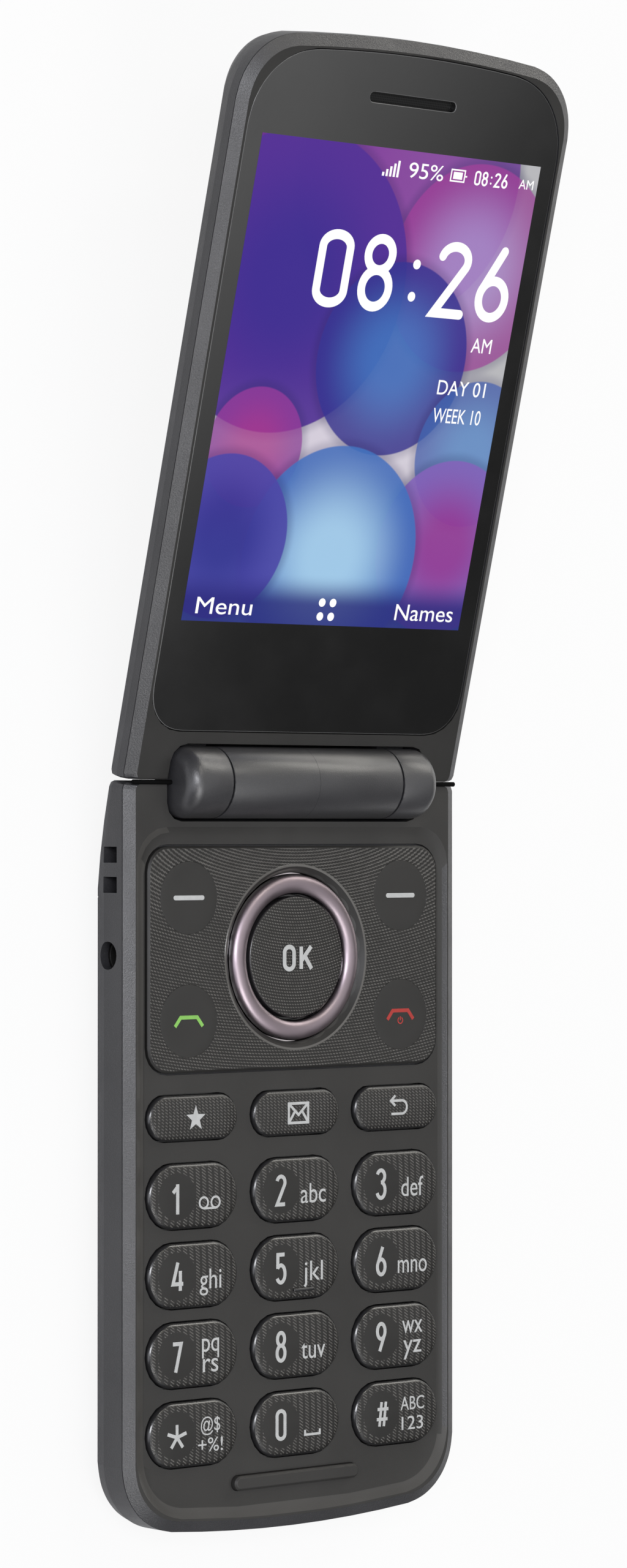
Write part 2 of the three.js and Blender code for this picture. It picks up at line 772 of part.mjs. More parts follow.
// Front housing of the base: keypad floor, chamfered rim, end block and the middle barrel of the hinge
const floorHalf = (grow) => crownedHalf({
  half: floorHalfWidth + grow,
  near: floorTop - grow,
  far: floorFoot + grow,
  nearRadius: floorTopRadius,
  corner: floorFootRadius + grow,
  crown: crownRadius + grow,
  side: -1,
  steps: curveSteps,
});
const panelHalf = (grow) =>
  roundedHalf(panelWidth + 2 * grow, panelHeight + 2 * grow, panelRadius + grow, panelY, curveSteps);
const through = [floorUnder - overrun, ridge + overrun];

function frontHousing() {
  const endBlock = baseCase(wall + partingGap, ridge)
    .intersect(block(acrossCase, [-hingeBlock, 0], [-baseBlockBottom, parting]));
  const rise = ridge - floor;
  const dish = loft([
    { z: floor, half: floorHalf(0) },
    { z: floor + rise / 3, half: floorHalf(floorSlope / 2) },
    { z: ridge, half: floorHalf(floorSlope) },
    { z: ridge + overrun, half: floorHalf(floorSlope) },
  ]);
  const shell = cut(join(rim(-1, floorUnder), endBlock), recess, dish);
  const barrel = crossDrum(barrelRadius, [-barrelHalf, barrelHalf], 0, 0);
  const web = block([-barrelHalf, barrelHalf], [-webReach, 0], [-webBottom, -webTop]);
  const bosses = atScrews(bossRadius, [-bossBottom, floor - rise]);
  return cut(
    join(shell, barrel, web, ...bosses),
    crossDrum(hingeBore, [boreStart, barrelHalf + overrun], 0, 0),
    crossDrum(hingeBore, [-barrelHalf - overrun, -boreStart], 0, 0),
    plate(panelHalf(panelClearance), [panelUnder - panelSeat, ridge + overrun]),
    plate(panelHalf(-panelLedge), through),
    plate(bumperAt(bumperClearance), [floor - bumperSeat, ridge + overrun]),
    ...keySites.map(({ x, at }) => plate(at(keyClearance), through).translate([x, 0, 0])),
    ...atScrews(bossBore, [-bossBottom - overrun, -bossBoreTop]),
  );
}

const bumperAt = pill(bumperWidth, bumperHeight, -bumperY);
const closingBumper = () => loft([
  { z: floor - bumperSeat + bumperClearance, half: bumperAt(0) },
  { z: bumperTop - panelEdge, half: bumperAt(0) },
  { z: bumperTop, half: bumperAt(-panelEdge) },
]);

function navPanel() {
  const sheet = loft([
    { z: panelUnder, half: panelHalf(0) },
    { z: panelFace - panelEdge, half: panelHalf(0) },
    { z: panelFace, half: panelHalf(-panelEdge) },
  ]);
  const hole = round(ringOuter + ringClearance, -ringY);
  const ringHole = loft([
    { z: panelUnder - overrun, half: hole(0) },
    { z: panelUnder + panelEdge, half: hole(0) },
    { z: panelFace, half: hole(ringHoleBevel) },
    { z: panelFace + overrun, half: hole(ringHoleBevel) },
  ]);
  const discHoles = discSites.map(({ x, at }) =>
    plate(at(discClearance), [panelUnder - overrun, panelFace + overrun]).translate([x, 0, 0]));
  return cut(sheet, ringHole, ...discHoles);
}

// What passes through the board and the mat
const jackEnd = -halfWidth + jackInset + jackLength;
const jackReach = jackRadius + bossClearance;
const underFloor = [-midFloorTop, floorUnder];
const passages = [
  block([-halfWidth, jackEnd + bossClearance], [-jackY - jackReach, -jackY + jackReach], underFloor),
  block([-portWidth / 2 - bossClearance, portWidth / 2 + bossClearance],
    [-halfLength, -halfLength + portInset + portDepth + bossClearance], underFloor),
  ...atScrews(bossRadius + bossClearance, underFloor),
];

function keyMat() {
  const length = matFoot - matStart;
  const sheet = plate(
    roundedHalf(2 * matHalfWidth, length, matRadius, -matStart - length / 2, nearSteps),
    [-matTop - matThickness, -matTop],
  );
  const plungers = [...keySites, ...discSites, { x: 0, y: -ringY }];
  const nubs = plungers.map(({ x, y }) => drum(nubRadius, x, y, [-matTop - matThickness, nubTop]));
  const feet = ringFeet.map(({ x, y }) => drum(ringFootRadius, x, y, [-matTop - matThickness, nubTop]));
  return cut(join(sheet, ...nubs, ...feet), ...passages);
}

function mainBoard() {
  const length = boardFoot - boardStart;
  const sheet = plate(
    roundedHalf(2 * boardHalfWidth, length, boardRadius, -boardStart - length / 2, curveSteps),
    [boardUnder, -boardTop],
  );
  return cut(sheet, strapBlock(bossClearance), ...passages);
}

// Strap loop in the left wall: two holes with a bar between them, joined behind the bar
const strapReach = strapBar / 2 + strapHoleWidth;
function strapBlock(grow) {
  const reach = strapReach + strapWall + grow;
  const middle = -strapZ;
  const half = strapHoleHeight / 2;
  return block([-halfWidth, -halfWidth + strapDepth + strapWall + grow], [-strapY - reach, -strapY + reach],
    [middle - half - strapWall - grow, middle + half + strapRoof + grow]);
}

function strapTunnel() {
  const height = [-strapZ - strapHoleHeight / 2, -strapZ + strapHoleHeight / 2];
  const whole = block([-halfWidth - overrun, -halfWidth + strapDepth],
    [-strapY - strapReach, -strapY + strapReach], height);
  return cut(whole, block([-halfWidth - overrun, -halfWidth + strapBarDepth],
    [-strapY - strapBar / 2, -strapY + strapBar / 2], height));
}

// Rear housing: side walls, middle floor, battery chamber and hinge end
const batteryMiddle = -batteryStart - batteryLength / 2;
const batteryHalf = (grow) =>
  roundedHalf(batteryWidth + 2 * grow, batteryLength + 2 * grow, batteryRadius, batteryMiddle, nearSteps);
const chamberTop = batteryTop + batteryGap + chamberCeiling;
const speakerHalf = (grow) =>
  roundedHalf(speakerWidth + 2 * grow, speakerLength + 2 * grow, speakerRadius + grow, -podY, nearSteps);

function rearHousing() {
  const outer = baseCase(0, rimTop);
  const inner = baseCase(wall, rimTop + overrun);
  const toFoot = -halfLength - overrun;
  const middleFloor = outer.intersect(block(acrossCase, [toFoot, -coverStart + bulkheadThickness],
    [-midFloorBottom, -midFloorTop]));
  const bulkhead = outer.intersect(block(acrossCase, [-coverStart, -coverStart + bulkheadThickness],
    [baseBack, -midFloorTop]));
  const chamber = plate(batteryHalf(batteryClearance + chamberWall), [-midFloorBottom, chamberTop]);
  const below = [baseBack - overrun, -midFloorBottom];
  return cut(
    join(cut(outer, inner, block(acrossCase, [toFoot, -coverStart], below)), middleFloor, bulkhead, chamber,
      outer.intersect(strapBlock(0))),
    plate(batteryHalf(batteryClearance), [baseBack, chamberTop - chamberCeiling]),
    plate(speakerHalf(speakerWindow), [baseBack, boardUnder]),
    strapTunnel(),
    recess,
    crossDrum(jackHole, [-halfWidth - overrun, -halfWidth + wall + overrun], -jackY, -jackZ),
    portHole(),
    drum(micHole, 0, 0, [0, wall + overrun], smallSides).rotate([THREE.MathUtils.radToDeg(-quarter), 0, 0])
      .translate([micX, -halfLength - tiny, boardUnder - stackGap - micHeight / 2]),
    besideWall(plate(volumeAt(volumeClearance), [halfWidth - wall - overrun, halfWidth + overrun])),
    ...atScrews(bossBore, [-midFloorBottom - overrun, -midFloorTop + tiny]),
  );
}

function batteryCover() {
  const tray = baseCase(0, rimTop).intersect(block(acrossCase,
    [-halfLength - overrun, -coverStart - coverSeam], [baseBack - overrun, -midFloorBottom - coverSeam]));
  const slots = Array.from({ length: slotCount }, (_, i) => {
    const y = -podY + (i - (slotCount - 1) / 2) * slotPitch;
    const slotHalf = roundedHalf(slotLength, slotWidth, slotWidth / 2, y, nearSteps);
    return plate(slotHalf, [baseBack - overrun, -midFloorTop]);
  });
  return cut(tray, baseCase(coverWall, rimTop), ...slots);
}

const battery = () => plate(batteryHalf(0), [coverFloor + batteryGap, batteryTop]);
const loudspeaker = () => plate(speakerHalf(0), [coverFloor + speakerGap, boardUnder - stackGap]);
const podUnder = [boardUnder - stackGap - podHeight, boardUnder - stackGap];
const vibrationMotor = () => drum(motorRadius, -motorX, -podY, podUnder, roundSides);
const cardSocket = () => plate(roundedHalf(cardEnd - cardStart, cardLength, podRadius, -podY, 1), podUnder)
  .translate([(cardStart + cardEnd) / 2, 0, 0]);
const microphone = () => block([micX - micWidth / 2, micX + micWidth / 2],
  [-micY - micLength / 2, -micY + micLength / 2], [boardUnder - stackGap - micHeight, boardUnder - stackGap]);

function screw([x, y]) {
  const under = -midFloorBottom - screwHeadGap;
  return join(drum(screwHeadRadius, x, y, [under - screwHeadHeight, under]),
    drum(screwRadius, x, y, [under - screwHeadHeight / 2, -screwTop]));
}

function headphoneSocket() {
  const start = -halfWidth + jackInset;
  return cut(crossDrum(jackRadius, [start, jackEnd], -jackY, -jackZ),
    crossDrum(jackBore, [start - overrun, jackEnd - jackFloor], -jackY, -jackZ));
}

// The USB socket lies across the foot: a folded shell with a tongue in it
const portHalf = (grow) =>
  roundedHalf(portWidth + 2 * grow, portHeight + 2 * grow, portRadius, 0, 1);
const atFoot = (body) =>
  body.rotate([THREE.MathUtils.radToDeg(-quarter), 0, 0]).translate([0, -halfLength, -portZ]);
const portHole = () => atFoot(plate(portHalf(portClearance), [-overrun, wall + overrun / 2]));
function usbSocket() {
  const back = portInset + portDepth;
  const shell = cut(plate(portHalf(0), [portInset, back]),
    plate(portHalf(-portSheet), [portInset - overrun, back - portSheet]));
  const tongue = block([-tongueHalf, tongueHalf], [-tongueThickness / 2, tongueThickness / 2],
    [portInset + portSheet, back - portSheet / 2]);
  return atFoot(join(shell, tongue));
}

// Hinge: a spring cartridge in the right of the barrel, its shaft keyed to the right knuckle, and a bushing
// on the left
const hingeCartridge = () => turnedAcross([
  [0, cartridgeStart],
  [cartridgeRadius, cartridgeStart],
  [cartridgeRadius, cartridgeEnd],
  [shaftRadius + shaftClearance, cartridgeEnd],
  [shaftRadius + shaftClearance, cartridgeEnd - cartridgeWall],
  [cartridgeRadius - cartridgeWall, cartridgeEnd - cartridgeWall],
  [cartridgeRadius - cartridgeWall, cartridgeStart + cartridgeWall],
  [0, cartridgeStart + cartridgeWall],
], roundSides);

const hingeShaft = () => turnedAcross([
  [0, shaftStart],
  [shaftRadius, shaftStart],
  [shaftRadius, camStart],
  [camRadius, camStart],
  [camRadius, camEnd],
  [shaftRadius, camEnd],
  [shaftRadius, driveHeadStart],
  [driveHeadRadius, driveHeadStart],
  [driveHeadRadius, driveHeadEnd],
  [0, driveHeadEnd],
], roundSides);

const hingeBushing = () => turnedAcross([
  [bushingBore, -bushingEnd],
  [bushingRadius, -bushingEnd],
  [bushingRadius, -bushingStart],
  [bushingBore, -bushingStart],
  [bushingBore, -bushingEnd],
], roundSides);

// Front of the lid: lens seat, display opening, earpiece slot and the two end knuckles
const lensHalf = (grow) => crownedHalf({
  half: lensHalfWidth + grow,
  near: lensHinge - grow,
  far: lensCrown + grow,
  nearRadius: lensHingeRadius + grow,
  corner: lensCornerRadius + grow,
  crown: crownRadius + grow,
  side: 1,
  steps: curveSteps,
});
const displayMiddle = displayStart + displayLength / 2;
const displayHalf = (grow) =>
  roundedHalf(displayWidth + 2 * grow, displayLength + 2 * grow, displayRadius, displayMiddle, nearSteps);
const earSlotAt = pill(earSlotWidth, earSlotHeight, earSlotY);
const meshAt = (grow) => earSlotAt(meshMargin + grow);

function knuckle() {
  const cap =
    arc(barrelRadius - knuckleFillet, knuckleEnd - knuckleFillet, knuckleFillet, 0, quarter, filletSteps);
  return turnedAcross([
    [hingeBore, knuckleStart],
    [barrelRadius, knuckleStart],
    ...cap,
    [0, knuckleEnd],
    [0, boreEnd],
    [hingeBore, boreEnd],
    [hingeBore, knuckleStart],
  ], roundSides);
}

function lidFront() {
  const endBlock = lidCase(lidWall + partingGap, ridge)
    .intersect(block(acrossCase, [0, hingeBlock], [-lidBlockBottom, parting]));
  const shell = cut(join(rim(1, -lidSkirtBottom), endBlock), recess);
  const web = cut(block([knuckleStart, knuckleEnd - knuckleFillet], [0, webReach], [-webBottom, -webTop]),
    crossDrum(hingeBore, [knuckleStart - overrun, boreEnd], 0, 0));
  const right = join(knuckle(), web);
  return cut(
    join(shell, right, right.mirror([1, 0, 0])),
    plate(lensHalf(lensClearance), [lensFloor, ridge + overrun]),
    plate(displayHalf(displayClearance), [-lidSkirtBottom - overrun, ridge]),
    plate(meshAt(lensClearance), [lensUnder - meshThickness - 2 * meshGap, ridge]),
    plate(earSlotAt(0), [-lidSkirtBottom - overrun, ridge]),
  );
}

const screenLens = () => cut(plate(lensHalf(0), [lensUnder, lensTop]),
  plate(earSlotAt(0), [lensUnder - overrun, lensTop + overrun]));
const mainDisplay = () => plate(displayHalf(0), [displayTop - displayThickness, displayTop]);
const earpieceMesh = () => plate(meshAt(0), [lensUnder - meshGap - meshThickness, lensUnder - meshGap]);
const lidBoard = () => plate(
  roundedHalf(lidBoardWidth, lidBoardLength, lidBoardRadius, lidBoardStart + lidBoardLength / 2, nearSteps),
  [lidBoardUnder, lidBoardTop],
);
const underSkirt = -lidSkirtBottom - stackGap;
const earpiece = () => plate(
  roundedHalf(earpieceWidth, earpieceLength, earpieceRadius, earSlotY, nearSteps),
  [underSkirt - earpieceThickness, underSkirt],
);
const lidMagnet = () => drum(magnetRadius, magnetX, magnetY, [underSkirt - magnetThickness, underSkirt]);

// Outer cover of the lid, its window and its camera
const outerLensHalf = (grow) => {
  const [width, length] = [outerLensWidth + 2 * grow, outerLensLength + 2 * grow];
  return roundedHalf(width, length, outerLensRadius + grow, outerLensY, curveSteps);
};
const outerLensTop = lidBack + outerLensThickness;
const throughBack = [lidBack - overrun, lidBack + lidWall + overrun];

function lidCover() {
  return cut(
    lidCase(0, rimTop),
    lidCase(lidWall, rimTop + overrun),
    recess,
    plate(outerLensHalf(outerLensClearance), [lidBack - overrun, outerLensTop + lensSeat]),
    plate(outerLensHalf(-outerLensLedge), throughBack),
    drum(cameraRingOuter + cameraClearance, 0, cameraY, throughBack, roundSides),
  );
}

const outerLens = () => plate(outerLensHalf(0), [lidBack, outerLensTop]);
const outerDisplay = () => block([-outerDisplayWidth / 2, outerDisplayWidth / 2],
  [outerLensY - outerDisplayLength / 2, outerLensY + outerDisplayLength / 2],
  [outerLensTop + stackGap, lidBoardUnder - stackGap]);

const ringFace = lidBack - cameraRingProud;
const ringBack = lidBack + cameraRingDepth;
const lipFace = ringBack - cameraLipDepth;
const cameraRing = () => turnedUp([
  [cameraRingInner, ringFace],
  [cameraRingOuter - cameraRingEdge, ringFace],
  [cameraRingOuter, ringFace + cameraRingEdge],
  [cameraRingOuter, ringBack],
  [cameraRingInner - cameraLip, ringBack],
  [cameraRingInner - cameraLip, lipFace],
  [cameraRingInner, lipFace],
  [cameraRingInner, ringFace],
], 0, cameraY);
const cameraGlass = () => drum(cameraRingInner - cameraClearance, 0, cameraY,
  [lipFace - cameraGlassInset - cameraGlassThickness, lipFace - cameraGlassInset], roundSides);
const cameraModule = () => join(
  drum(cameraRadius, 0, cameraY, [ringBack + stackGap, lidBoardUnder - stackGap], roundSides),
  drum(cameraNose, 0, cameraY, [lipFace + cameraClearance, ringBack + cameraShoulder]),
);

// Everything in its place
part(base, "front_housing", frontHousing(), "case");
part(base, "rear_housing", rearHousing(), "case");
part(base, "battery_cover", batteryCover(), "case");
part(base, "nav_panel", navPanel(), "panel");
part(base, "closing_bumper", closingBumper(), "rubber");
part(base, "key_mat", keyMat(), "rubber");
part(base, "main_board", mainBoard(), "board");
part(base, "battery", battery(), "battery");
part(base, "loudspeaker", loudspeaker(), "dark");
part(base, "vibration_motor", vibrationMotor(), "steel");
part(base, "card_socket", cardSocket(), "steel");
part(base, "microphone", microphone(), "dark");
part(base, "headphone_socket", headphoneSocket(), "dark");
part(base, "usb_socket", usbSocket(), "steel");
part(base, "hinge_cartridge", hingeCartridge(), "steel");
part(base, "hinge_bushing", hingeBushing(), "steel");
Object.entries(screwSites).forEach(([name, site]) => part(base, name, screw(site), "steel"));

keySites.forEach((site) => part(base, site.name, keypadKey(site), "key"));
discSites.forEach((site) => part(base, site.name, discKey(site), "key"));
part(base, "nav_ring", navRing(), "ring");
part(base, "ok_key", okKey(), "panel");
part(base, "volume_key", volumeKey(), "key");

part(lid, "lid_front", lidFront(), "case");
part(lid, "lid_cover", lidCover(), "case");
part(lid, "screen_lens", screenLens(), "lens");
part(lid, "main_display", mainDisplay(), "display");
part(lid, "earpiece_mesh", earpieceMesh(), "steel");
part(lid, "earpiece", earpiece(), "dark");
part(lid, "lid_board", lidBoard(), "board");
part(lid, "outer_display", outerDisplay(), "display");
part(lid, "outer_lens", outerLens(), "lens");
part(lid, "camera_ring", cameraRing(), "steel");
part(lid, "camera_glass", cameraGlass(), "glass");
part(lid, "camera_module", cameraModule(), "dark");
part(lid, "lid_magnet", lidMagnet(), "steel");
part(lid, "hinge_shaft", hingeShaft(), "steel");

export default phone;
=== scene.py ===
"""Looks of a clamshell mobile phone, open and lying on its back. Everything is in metres."""
import json
import math

import bmesh
import bpy
from mathutils import Matrix, Vector


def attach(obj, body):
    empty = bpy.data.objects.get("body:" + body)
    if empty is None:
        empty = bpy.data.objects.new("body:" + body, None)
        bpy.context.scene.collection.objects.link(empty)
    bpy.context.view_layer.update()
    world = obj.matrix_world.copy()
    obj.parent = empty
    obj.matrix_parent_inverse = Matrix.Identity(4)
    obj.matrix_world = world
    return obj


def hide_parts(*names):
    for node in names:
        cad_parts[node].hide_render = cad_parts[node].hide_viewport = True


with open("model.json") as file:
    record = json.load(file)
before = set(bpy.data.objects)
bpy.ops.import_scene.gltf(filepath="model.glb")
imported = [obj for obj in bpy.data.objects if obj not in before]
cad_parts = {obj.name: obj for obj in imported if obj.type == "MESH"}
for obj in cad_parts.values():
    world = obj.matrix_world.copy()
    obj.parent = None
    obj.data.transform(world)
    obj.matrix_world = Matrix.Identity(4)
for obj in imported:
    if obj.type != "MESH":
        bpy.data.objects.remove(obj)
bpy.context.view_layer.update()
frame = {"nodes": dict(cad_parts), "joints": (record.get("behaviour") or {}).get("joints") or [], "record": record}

MM = 0.001
HINGE = Vector(frame["joints"][0]["pos_m"])
LID_RISE = math.radians(15)
BASE_PLACE = Matrix.Translation(HINGE)
LID_PLACE = BASE_PLACE @ Matrix.Rotation(LID_RISE, 4, "X")

# Heights above the hinge axis, in millimetres, in the frame of either half
FLOOR = -0.75
FLOOR_UNDER = -1.95
PANEL_FACE = -0.25
PANEL_UNDER = -1.25
KEY_FACE = 0.15
RIDGE = -0.3
PARTING = -1.15
LENS_TOP = -0.4
PLUNGER_END, PLUNGER_SIZE = -2.75, 3

# Hinge, in millimetres from its axis and from the middle of the phone
BARREL_RADIUS, SKIN_INSIDE = 4.77, 3.2
BARREL_END, KNUCKLE_START, KNUCKLE_END = 14.75, 15.05, 21.8
KNUCKLE_ROUND = 2.0
CASE_END = 29.0

# Keypad layout, in millimetres from the hinge axis. A key's rounded rim is that wide and that high
KEY_SIZE, KEY_RIM = (15.2, 8.57), (1.0, 0.6)
FUNCTION_KEY_SIZE, FUNCTION_KEY_RIM = (15.2, 5.97), (0.9, 0.6)
COLUMNS = (-17.84, 0.0, 17.84)
FUNCTION_ROW = -44.2
NUMBER_ROWS = (-54.5, -64.94, -75.38, -85.82)
RING_Y = -23.355
DISC_SIZE, DISC_RIM = (9.6, 9.6), (0.04, 0.04)
DISC_X = 18.6
DISC_ROWS = (-15.23, -31.48)
HOLE_LIP = 12.35  # round the navigation ring
FIELD_X, FIELD_RADIUS = -2.95, 3.15  # the plain round field under each digit, from the middle of its key
KEYPAD_MIDDLE = -48

# Case, in millimetres from the middle of the phone and from the hinge axis, and how far up faces point
CHAMFER_START = 26.5
CHAMFER_LEVEL, PANEL_LEVEL = 0.93, 0.97
SLOPE_LOW, SLOPE_HIGH = 0.2, 0.985
CORNER_X, CORNER_Y = 18, 88  # the far corners of both halves lie beyond these

# Facets of rounded corners: the angles between them, in radians, and their widths, in millimetres
FLATTEST_RIB, SHARPEST_RIB = 0.05, 0.7
SLIVER, WIDEST_FACET = 0.4, 5
TURN_STEPS = 128  # of whatever is turned


# ---------------- node trees
class Nodes:
    """Nodes wired by short calls. A value is a number, a tuple or another node's output."""

    def __init__(self, owner):
        owner.use_nodes = True
        self.nodes = owner.node_tree.nodes
        self.links = owner.node_tree.links

    def put(self, value, socket):
        if isinstance(value, bpy.types.NodeSocket):
            self.links.new(value, socket)
        else:
            socket.default_value = value

    def fill(self, node, **sockets):
        """Puts a value in each named socket, with _ for a space."""
        for socket, value in sockets.items():
            self.put(value, node.inputs[socket.replace("_", " ")])
        return node

    def node(self, kind, *values, **settings):
        """A new node with those settings, and those values in its first sockets."""
        node = self.nodes.new("ShaderNode" + kind)
        for setting, value in settings.items():
            setattr(node, setting, value)
        for value, socket in zip(values, node.inputs):
            self.put(value, socket)
        return node

    def math(self, operation, *values):
        return self.node("Math", *values, operation=operation).outputs[0]

    def times(self, first, second):
        return self.math("MULTIPLY", first, second)

    def range(self, value, low, high, to_low=0.0, to_high=1.0):
        """Eases from one value to another; low may be above high."""
        if low > high:
            low, high, to_low, to_high = high, low, to_high, to_low
        node = self.node("MapRange", value, low, high, to_low, to_high, interpolation_type="SMOOTHSTEP")
        return node.outputs[0]

    def show_camera(self, seen, share, others, output):
        """Camera rays meet that share of the shader seen, and all other rays meet the shader others."""
        share = self.times(self.node("LightPath").outputs["Is Camera Ray"], share)
        choice = self.node("MixShader", share, others.outputs[0], seen.outputs[0])
        self.fill(self.nodes[output], Surface=choice.outputs[0])


class Tree(Nodes):
    """A material's nodes, and the place on the surface in millimetres in the frame of a half."""

    def __init__(self, name, half="base", **shader):
        self.material = bpy.data.materials.new(name)
        super().__init__(self.material)
        self.shader = self.nodes["Principled BSDF"]
        self.set(**shader)
        placed = self.fill(self.node("Mapping", vector_type="TEXTURE"), Scale=(MM, MM, MM), Location=HINGE,
                           Rotation=(LID_RISE if half == "lid" else 0, 0, 0),
                           Vector=self.node("TexCoord").outputs["Object"])
        self.place = placed.outputs["Vector"]
        self.x, self.y, self.z = self.node("SeparateXYZ", self.place).outputs

    def noise(self, size, detail=2.0, roughness=0.5, squeeze=None):
        """Noise about that many millimetres across, from 0 to 1. squeeze packs it closer by three factors."""
        place = self.place
        if squeeze:
            place = self.node("VectorMath", place, squeeze, operation="MULTIPLY").outputs[0]
        made = self.node("TexNoise")
        self.fill(made, Vector=place, Scale=1 / size, Detail=detail, Roughness=roughness)
        return made.outputs["Fac"]

    def cells(self, size):
        """Distance to the nearest of scattered points about that many millimetres apart."""
        return self.fill(self.node("TexVoronoi"), Vector=self.place, Scale=1 / size).outputs["Distance"]

    def mix(self, share, first, second):
        node = self.node("Mix", share, data_type="RGBA")
        self.put(first, node.inputs[6])
        self.put(second, node.inputs[7])
        return node.outputs[2]

    def set(self, **sockets):
        self.fill(self.shader, **sockets)

    def paint_over(self, share, color):
        """Puts a colour over what the surface already has."""
        base = self.shader.inputs["Base Color"]
        under = base.links[0].from_socket if base.links else tuple(base.default_value)
        self.put(self.mix(share, under, color), base)

    def bump(self, height, depth):
        """height runs from 0 to 1 over that many millimetres. A second call adds to the first."""
        node = self.fill(self.node("Bump"), Distance=depth * MM, Height=height)
        normal = self.shader.inputs["Normal"]
        if normal.links:
            self.fill(node, Normal=normal.links[0].from_socket)
        self.put(node.outputs[0], normal)

    def away(self, x, y, x_from=None, y_from=None):
        """Distance on the face of a half between (x, y) and the surface's own place, or other coordinates."""
        across = self.math("POWER", self.math("SUBTRACT", x_from or self.x, x), 2)
        along = self.math("POWER", self.math("SUBTRACT", y_from or self.y, y), 2)
        return self.math("SQRT", self.math("ADD", across, along))


def grey(value, tint=(1, 1, 1)):
    """A colour of that brightness."""
    return tuple(value * part for part in tint) + (1,)


def shade(color, factor):
    """A brighter or darker colour."""
    return tuple(min(c * factor, 1) for c in color[:3]) + (1,)


def handled(tree, color, roughness, smudge=0.08, spread=0.1, size=14):
    """Colour drifts a little over the surface, and roughness shows where hands have been."""
    drift = tree.noise(size, 3)
    touch = tree.noise(size * 0.45, 4, 0.6)
    drifting = tree.mix(tree.range(drift, 0.3, 0.7), shade(color, 1 - spread), shade(color, 1 + spread))
    worn = tree.range(touch, 0.35, 0.7, roughness - smudge / 2, roughness + smudge / 2)
    tree.set(Base_Color=drifting, Roughness=worn)


WARM = (1.0, 0.96, 0.9)
COOL = (0.97, 0.965, 1.05)
CHARCOAL = grey(0.021, WARM)
NEAR_BLACK = grey(0.014, WARM)
SOOT = grey(0.016, WARM)
COARSE = grey(0.03, COOL)
STEEL = (0.45, 0.45, 0.47, 1)
LENGTHWISE = (1, 8, 8)
STROKE_RELIEF, STROKE_SOFTNESS = 0.05, 0.07


def painted(name, half, color=CHARCOAL, roughness=0.5, grain=0.16, depth=0.012):
    """Satin paint over moulded plastic with a fine grain."""
    tree = Tree(name, half, Specular_IOR_Level=0.5)
    handled(tree, color, roughness)
    tree.paint_over(tree.range(tree.noise(grain * 1.4, 2), 0.56, 0.78, 0, 0.35), shade(color, 1.5))
    tree.bump(tree.noise(grain, 2, 0.6), depth)
    return tree.material


def sprayed(name, half, color=COARSE, roughness=0.4, grain=0.24, depth=0.045, shine=0.0):
    """The sparkling spray of the chamfers and side walls, or finer and glossier for the hinge."""
    tree = Tree(name, half, Specular_IOR_Level=0.6, Coat_Weight=shine, Coat_Roughness=0.3)
    handled(tree, color, roughness)
    tree.bump(tree.noise(grain, 3, 0.65), depth)
    flakes = tree.range(tree.cells(grain * 0.9), 0.12, 0.3, 0.55, 0)
    tree.paint_over(flakes, shade(color, 2.6))
    return tree.material


def dull_black(name, half):
    """Near-black that hardly reflects: the painted shade of the hinge's slits."""
    tree = Tree(name, half, Specular_IOR_Level=0.06)
    handled(tree, grey(0.002), 0.85)
    tree.bump(tree.noise(0.2, 2, 0.6), 0.008)
    return tree.material


def strokes(tree, pitch, length, thickness, slope, rise=None, step=0.0):
    """Short slanted strokes in columns and rows, 1 on a stroke and 0 between. pitch holds both spacings,
    slope is how far a stroke falls in a millimetre, rise bends the rows and step shifts each sideways."""
    rise = rise or tree.y
    level = tree.math("FLOOR", tree.math("DIVIDE", rise, pitch[1]))
    column = tree.math("ADD", tree.math("DIVIDE", tree.x, pitch[0]), tree.times(level, step))
    part = tree.math("SUBTRACT", tree.math("FRACT", column), 0.5)
    fall = tree.times(part, slope * pitch[0])
    row = tree.math("DIVIDE", tree.math("ADD", rise, fall), pitch[1])
    limit = 0.5 - thickness / (2 * pitch[1])
    across = tree.range(tree.math("PINGPONG", row, 0.5), limit - STROKE_SOFTNESS, limit + STROKE_SOFTNESS)
    away = tree.math("SUBTRACT", tree.math("ABSOLUTE", part), length)
    return tree.times(across, tree.range(away, STROKE_SOFTNESS, -STROKE_SOFTNESS))


def raised(tree, stroke, ground, roughness, light):
    """Fine raised strokes whose tops are painted paler than the ground between them as a painted highlight, some
    more than others.
    """
    handled(tree, ground, roughness)
    # The pale stroke tops are a painted highlight; how pale they are varies at random.
    highlight_variation = tree.range(tree.noise(1.3, 3, 0.7), 0.3, 0.7, 0.55, 1)
    tree.paint_over(tree.times(stroke, highlight_variation), light)
    tree.bump(stroke, STROKE_RELIEF)
    return tree.material


def patterned_panel(name):
    """The navigation panel: fine rows that sag in the middle, steeper and closed up near its top."""
    tree = Tree(name, "base", Specular_IOR_Level=0.4)
    out = tree.math("POWER", tree.math("DIVIDE", tree.x, 24.0), 2)
    fade = tree.math("EXPONENT", tree.math("DIVIDE", tree.math("ADD", tree.y, 8.4), 7.0))
    sag = tree.times(tree.times(out, 4.0), tree.math("ADD", fade, 0.5))
    closed = tree.range(tree.y, -20, -10, 0.33, 0.52)
    stroke = strokes(tree, (0.52, 0.41), closed, 0.17, 0.2, tree.math("SUBTRACT", tree.y, sag), 0.37)
    return raised(tree, stroke, NEAR_BLACK, 0.45, grey(0.1, WARM))


def patterned_ok(name):
    """The middle key: sagging rows of fine dots."""
    tree = Tree(name, "base", Specular_IOR_Level=0.4)
    out = tree.math("POWER", tree.math("DIVIDE", tree.x, 8.0), 2)
    sag = tree.times(out, 1.2)
    stroke = strokes(tree, (0.45, 0.41), 0.3, 0.16, 0.2, tree.math("SUBTRACT", tree.y, sag), 0.3)
    return raised(tree, stroke, NEAR_BLACK, 0.45, grey(0.12, WARM))


